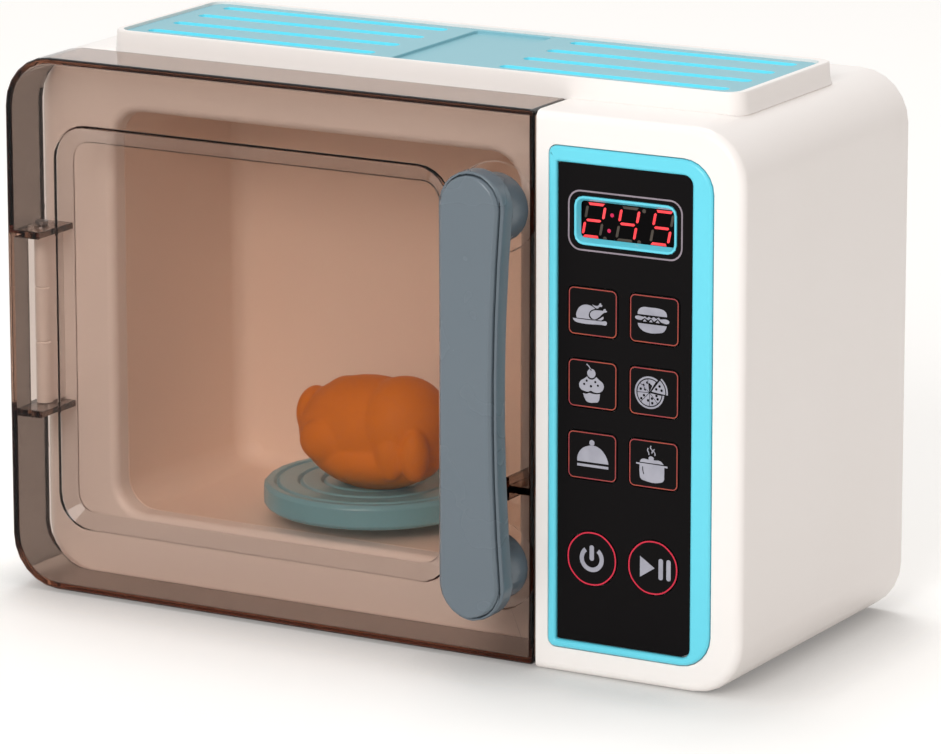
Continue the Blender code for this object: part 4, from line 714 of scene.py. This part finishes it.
# The symbols, from the middle of their key. The pizza is eight slices, with one pulled out.
SYMBOLS = {
    "roast": [
        [
            (-6.8, -2.4, 0), (-5.5, -2.45), (3.0, -2.45), (4.6, -2.4), (4.8, -2.9), (4.6, -3.4),
            (3.0, -3.5), (-5.0, -3.6), (-6.2, -3.2),
        ],
        [
            (-5.4, -2.2, 0), (-5.6, -1.2), (-5.2, 0.1), (-4.3, 1.3), (-2.9, 2.0), (-1.4, 2.1),
            (0.0, 1.7), (0.8, 1.15, 0), (-0.45, 0.6), (-1.2, -0.3), (-1.3, -1.3), (-0.8, -2.0),
            (0.4, -2.3), (1.4, -2.2), (2.2, -1.8), (3.5, -0.9, 0), (3.7, -1.4), (2.9, -2.2, 0),
        ],
        [
            (-0.5, 0.1), (0.2, 0.55), (1.4, 0.8), (3.0, 0.85), (3.5, 0.85, 0), (3.9, 1.45), (4.4, 1.35),
            (4.4, 1.05), (4.8, 0.9), (4.6, 0.5), (3.9, 0.35, 0), (3.0, -0.4), (2.2, -1.2), (1.1, -1.9),
            (0.2, -2.0), (-0.6, -1.5), (-0.9, -0.7),
        ],
        [
            (-0.2, 2.4, 0), (1.1, 2.1), (2.0, 2.35), (2.4, 3.0), (2.8, 3.0), (2.85, 2.7), (3.2, 2.5),
            (3.05, 2.0), (2.4, 1.95), (1.7, 1.35), (1.1, 1.4), (0.4, 1.8),
        ],
    ],
    "burger": [
        [
            (-5.57, 1.28, 0), (-5.49, 2.06), (-4.83, 3.04), (-3.65, 3.59), (-1.79, 3.63), (2.17, 3.52),
            (3.49, 3.07), (4.16, 2.19), (4.22, 1.29, 0),
        ],
        [
            (-6.41, 0.39), (-6.27, -0.08), (-5.48, -0.42), (-4.3, -0.44, 0), (-3.23, 0.3, 0),
            (-2.03, -0.28, 0), (-1.11, 0.35, 0), (-0.05, -0.54, 0), (1.14, 0.44, 0), (2.33, -0.5, 0),
            (4.58, -0.69), (5.05, -0.11), (4.7, 0.38), (1.93, 0.43, 0), (1.53, 0.97, 0), (0.61, 0.4, 0),
            (-0.19, 0.9, 0), (-0.98, 0.36, 0), (-1.78, 0.82, 0), (-2.43, 0.33, 0), (-3.23, 0.82, 0),
            (-3.4, 0.6, 0),
        ],
        corners([(-3.8, -0.78), (-3.23, -0.05), (-2.5, -0.78)]),
        corners([(-1.7, -0.78), (-1.11, 0.0), (-0.5, -0.78)]),
        corners([(0.5, -0.78), (1.14, 0.05), (1.85, -0.78)]),
        [
            (-5.55, -1.45, 0), (4.19, -1.45, 0), (3.85, -2.4), (3.14, -3.32), (1.96, -3.77),
            (-3.33, -3.83), (-4.4, -3.23), (-5.25, -2.37),
        ],
    ],
    "cupcake": [
        stroke([(-2.0, 6.1), (-1.1, 5.3), (-0.4, 4.2)], 0.35),
        disc(-0.37, 3.35, 1.4),
        [
            (-1.8, 2.3, 0), (-2.7, 1.6), (-4.0, 0.7), (-4.5, -0.3), (-4.4, -1.1), (-3.8, -1.9),
            (-2.7, -2.25), (-1.5, -2.4), (-0.6, -2.0), (0.4, -2.3), (1.7, -2.4), (3.0, -1.9),
            (3.7, -1.0), (3.85, -0.1), (3.4, 0.85), (2.3, 1.6), (1.3, 2.4, 0), (0.6, 1.75),
            (-0.37, 1.45), (-1.3, 1.7),
        ],
        disc(-1.95, 0.95, 0.36),
        disc(0.97, 0.85, 0.36),
        disc(-2.8, -0.15, 0.36),
        disc(-0.5, -0.6, 0.4),
        disc(1.85, -0.15, 0.36),
        [
            (-3.2, -3.0, 0), (-1.9, -3.05), (-1.0, -2.7), (0.1, -2.85), (1.4, -2.85), (2.6, -2.65, 0),
            (1.9, -5.2), (1.0, -5.45), (-1.7, -5.5), (-2.35, -4.9),
        ],
    ],
    "cloche": [
        disc(-0.09, 4.1, 0.88),
        [
            (-5.05, -1.95, 0), (-5.05, -0.9), (-4.55, 0.6), (-3.3, 2.1), (-1.5, 3.0), (0.3, 3.3),
            (2.3, 2.8), (4.0, 1.4), (5.15, -0.5), (5.55, -1.95, 0),
        ],
        [(-5.1, -2.65, 0), (5.5, -2.65, 0), (5.5, -3.45, 0), (-5.1, -3.45, 0)],
    ],
    "pot": [
        [
            (-4.6, 0.36, 0), (-4.0, 1.3), (-1.6, 1.38, 0), (-1.5, 2.2), (0.0, 2.2), (0.1, 1.38, 0),
            (2.4, 1.3), (3.45, 0.36, 0),
        ],
        [
            (-5.8, 0.1, 0), (-5.8, -0.3, 0), (-4.65, -0.45, 0), (-4.6, -3.2), (-4.2, -4.7),
            (-3.0, -5.2), (2.4, -5.25), (3.45, -4.6), (3.65, -3.0), (3.65, -0.5, 0), (4.75, -0.55, 0),
            (4.75, 0.0, 0),
        ],
        stroke([(-3.6, -0.95), (-3.5, -2.2), (-3.2, -3.3)], 0.3),
        stroke([(-1.8, 4.9), (-1.95, 4.2), (-1.6, 3.5), (-1.5, 2.8)], 0.32),
        stroke([(-0.85, 5.7), (-1.0, 5.0), (-0.4, 4.3), (-0.55, 3.4)], 0.34),
        stroke([(0.3, 4.8), (0.05, 4.2), (0.5, 3.5), (0.5, 2.8)], 0.32),
    ],
    "play": [
        corners([(-4.3, 3.2), (-4.3, -3.3), (0.65, -0.05)]),
        round_box(1.95, 3.45, -3.45, 3.1, 0.7),
        round_box(4.6, 6.05, -3.45, 3.1, 0.7),
    ],
}
SYMBOLS["power"] = [arc_band(0.0, 0.0, 2.7, 4.1, 128, 412, 30), round_box(-0.75, 0.75, -0.6, 4.2, 0.7)]

PIZZA_MIDDLE = (-1.45, -0.2)
PULLED_SLICE = (-0.75, 0.2)
PULLED_TURNS = (-6, 53)
PULLED_RADIUS = 4.6
PULLED_CRUST = (4.95, 5.45)
CRUST = (4.4, 4.95)
SLICE_TURNS = (58, 98, 140, 182, 226, 270, 312, 354)
SLICE_RADIUS = 3.8
SLICE_GAP = 0.25
TOPPING_RADIUS = 0.42
TOPPINGS = (
    (-2.2, 2.8), (-3.5, 1.9), (-4.4, 0.7), (-2.9, 0.7), (-3.3, -1.2), (-4.2, -2.2), (-1.9, -2.6),
    (-0.6, -1.9), (-0.5, -3.3), (1.3, -1.9), (0.9, -0.9), (1.9, 2.1), (0.8, 1.1), (2.6, 0.9), (-1.0, 1.9),
)
SYMBOLS["pizza"] = [
    arc_band(*PIZZA_MIDDLE, *CRUST, 56, 355, 40),
    arc_band(*PULLED_SLICE, *PULLED_CRUST, *PULLED_TURNS),
    wedge(*PULLED_SLICE, PULLED_RADIUS, *PULLED_TURNS),
]
for start, end in zip(SLICE_TURNS, SLICE_TURNS[1:]):
    middle = math.radians((start + end) / 2)
    tip_x = PIZZA_MIDDLE[0] + SLICE_GAP * math.cos(middle)
    tip_z = PIZZA_MIDDLE[1] + SLICE_GAP * math.sin(middle)
    SYMBOLS["pizza"].append(wedge(tip_x, tip_z, SLICE_RADIUS, start, end, 6))
SYMBOLS["pizza"] += [disc(x, z, TOPPING_RADIUS) for x, z in TOPPINGS]

# The outline of a key runs just inside its cap, which is smaller than its hidden flange.
KEY_FLANGE = 1.3 * MM
LINE_INSET = 0.22
KEY_STROKE = 0.32
KEY_CORNER = 1.7
RING_STROKE = 0.44
for key in KEYS:
    low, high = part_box(f"key_{key}")
    centre = ((low.x + high.x) / 2, low.y - INK / 2, (low.z + high.z) / 2)
    wide = ((high.x - low.x) / 2 - KEY_FLANGE) / MM - LINE_INSET
    tall = ((high.z - low.z) / 2 - KEY_FLANGE) / MM - LINE_INSET
    if key in ROUND_KEYS:
        rings = [disc(0, 0, wide), disc(0, 0, wide - RING_STROKE)]
        outline_ink = crimson_ink
    else:
        rings = box_line(wide, tall, KEY_CORNER, KEY_STROKE)
        outline_ink = red_ink
    print_on(f"{key}_outline", rings, centre, outline_ink, f"{key}_key")
    print_on(f"{key}_symbol", SYMBOLS[key], centre, grey_ink, f"{key}_key")


# Display. Three slanted seven-segment digits, a colon and dots, glowing red where lit and brown-grey
# where not. They lie on the face of the dark window, which lets nothing through here. Places are
# in millimetres from the toy's middle and base.
SLANT = 0.18
DIGIT_SHARE = 0.95
DIGIT_RISE = 0.2
DIGIT_MIDDLES = ((78.6, 140.3), (90.0, 140.3), (101.4, 140.35))
DIGIT_BARS = ("abged", "fgbc", "afgcd")
DOT_RADIUS = 0.6
COLON = ((84.8, 142.7), (83.8, 137.9))
DIM_DOTS = ((82.4, 135.4), (95.5, 145.1), (93.9, 135.5))
# The bars that lie across are drawn one by one, and the others are one shape in four places.
SEGMENTS = {
    "a": [(-2.75, 5.7), (2.75, 5.7), (2.2, 4.85), (-2.2, 4.85)],
    "g": [(-2.5, 0.0), (-2.1, 0.42), (2.1, 0.42), (2.5, 0.0), (2.1, -0.42), (-2.1, -0.42)],
    "d": [(-2.7, -5.6), (2.7, -5.6), (2.15, -4.75), (-2.15, -4.75)],
}
UPRIGHT = [(-0.42, -1.6), (0.0, -1.95), (0.42, -1.6), (0.42, 1.6), (0.0, 1.95), (-0.42, 1.6)]
UPRIGHT_PLACES = {"f": (-2.87, 2.65), "b": (3.05, 2.65), "e": (-2.8, -2.65), "c": (3.0, -2.65)}
for name, (x, z) in UPRIGHT_PLACES.items():
    SEGMENTS[name] = [(x + u, z + v) for u, v in UPRIGHT]

dress(black_film("dark_window", "050405", rough=0.12, shine=0.03), "display_window", "display_module")
lit = ink("lit_segment", "F2464C", "E83A40", glow=0.6)
lit_dot = ink("lit_colon", "C02850", "B8204A", glow=0.4)
unlit = ink("unlit_segment", "544A42", "453D37")
bright = []
dim = []
for (x, z), lit_names in zip(DIGIT_MIDDLES, DIGIT_BARS):
    for name, shape in SEGMENTS.items():
        moved = [(x + u + v * SLANT, z + DIGIT_RISE + v * DIGIT_SHARE) for u, v in shape]
        (bright if name in lit_names else dim).append(corners(moved))
dim += [disc(x, z, DOT_RADIUS) for x, z in DIM_DOTS]
colon = [disc(x, z, DOT_RADIUS) for x, z in COLON]
glass_face = (0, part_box("display_window")[0].y - INK / 2, 0)
print_on("display_digits", bright, glass_face, lit, "housing")
print_on("display_colon", colon, glass_face, lit_dot, "housing")
print_on("display_dim_bars", dim, glass_face, unlit, "housing")


# Turntable. A plate of teal polypropylene with a raised rim and rings. Its tool was polished, so
# it has a clear gloss with hardly any grain.
teal = moulded_plastic("teal_polypropylene", "80BDCF", "78B6C8", rough=0.22, grain=0.4)
finer("turntable", "turntable_plate", teal)


# Roast chicken. Hollow soft vinyl, cast in a mould and sprayed, with smooth lumps and creases. Each
# lump is its middle, measured from the middle of the underside, and its half sizes, all in mm.
LUMPS = (
    (0.5, 0.0, 16.4, 26.0, 17.0, 18.2),
    (12.0, -1.0, 20.2, 14.6, 16.0, 15.6),
    (2.5, -2.5, 10.0, 22.5, 15.5, 9.9),
    (-21.2, 0.0, 20.5, 5.2, 8.0, 8.4),
    (-9.8, 1.0, 24.5, 8.2, 10.0, 8.6),
    (14.0, -13.4, 13.5, 5.6, 4.2, 8.5),
    (22.0, -12.0, 14.0, 4.6, 5.0, 8.5),
    (-9.5, -12.5, 15.0, 9.5, 5.5, 7.5),
)
LUMP_DETAIL = 4
SKIN_CELL = 0.6 * MM
CREASE_SOFTNESS = 0.5
CREASE_PASSES = 4
food_low, food_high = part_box("play_food")
food_foot = Vector(((food_low.x + food_high.x) / 2, (food_low.y + food_high.y) / 2, food_low.z))
vinyl = moulded_plastic("orange_vinyl", "E88606", "DC7B05", rough=0.5, ripple=40, grain=1, shine=0.12)
flesh = bmesh.new()
for x, y, z, wide, deep, tall in LUMPS:
    place = Matrix.Translation(food_foot + Vector((x, y, z)) * MM) @ Matrix.Diagonal((wide, deep, tall, 1))
    bmesh.ops.create_icosphere(flesh, subdivisions=LUMP_DETAIL, radius=MM, matrix=place)
chicken = add_shape("roast_chicken", flesh, vinyl)
skin = chicken.modifiers.new("one_skin", "REMESH")
skin.mode = "VOXEL"
skin.voxel_size = SKIN_CELL
skin.use_smooth_shade = True
rounding = chicken.modifiers.new("soft_creases", "SMOOTH")
rounding.factor = CREASE_SOFTNESS
rounding.iterations = CREASE_PASSES
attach(chicken, "turntable")
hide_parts("play_food")


# Drive and electronics, out of sight inside: natural nylon gears, a rubber key mat, a green
# board, a loudspeaker and jacketed cells.
nylon = moulded_plastic("natural_nylon", "E6E4DA", "DEDBCF", rough=0.5)
dress(nylon, "turntable_spindle", "turntable_gear", "spindle_bush")
dress(nylon, "idler_gear", "drive_pinion", "gear_motor")
dress(moulded_plastic("silicone_rubber", "9A9EA3", "90949A", rough=0.65), "keypad_mat")
dress(moulded_plastic("green_board", "2F6B4A", "285F41", rough=0.45), "circuit_board")
dress(plated_steel("speaker_steel", "9FA2A6", rough=0.4), "speaker")
dress(moulded_plastic("cell_jacket", "3C3F45", "34373C", rough=0.35), "battery_1", "battery_2", "battery_3")
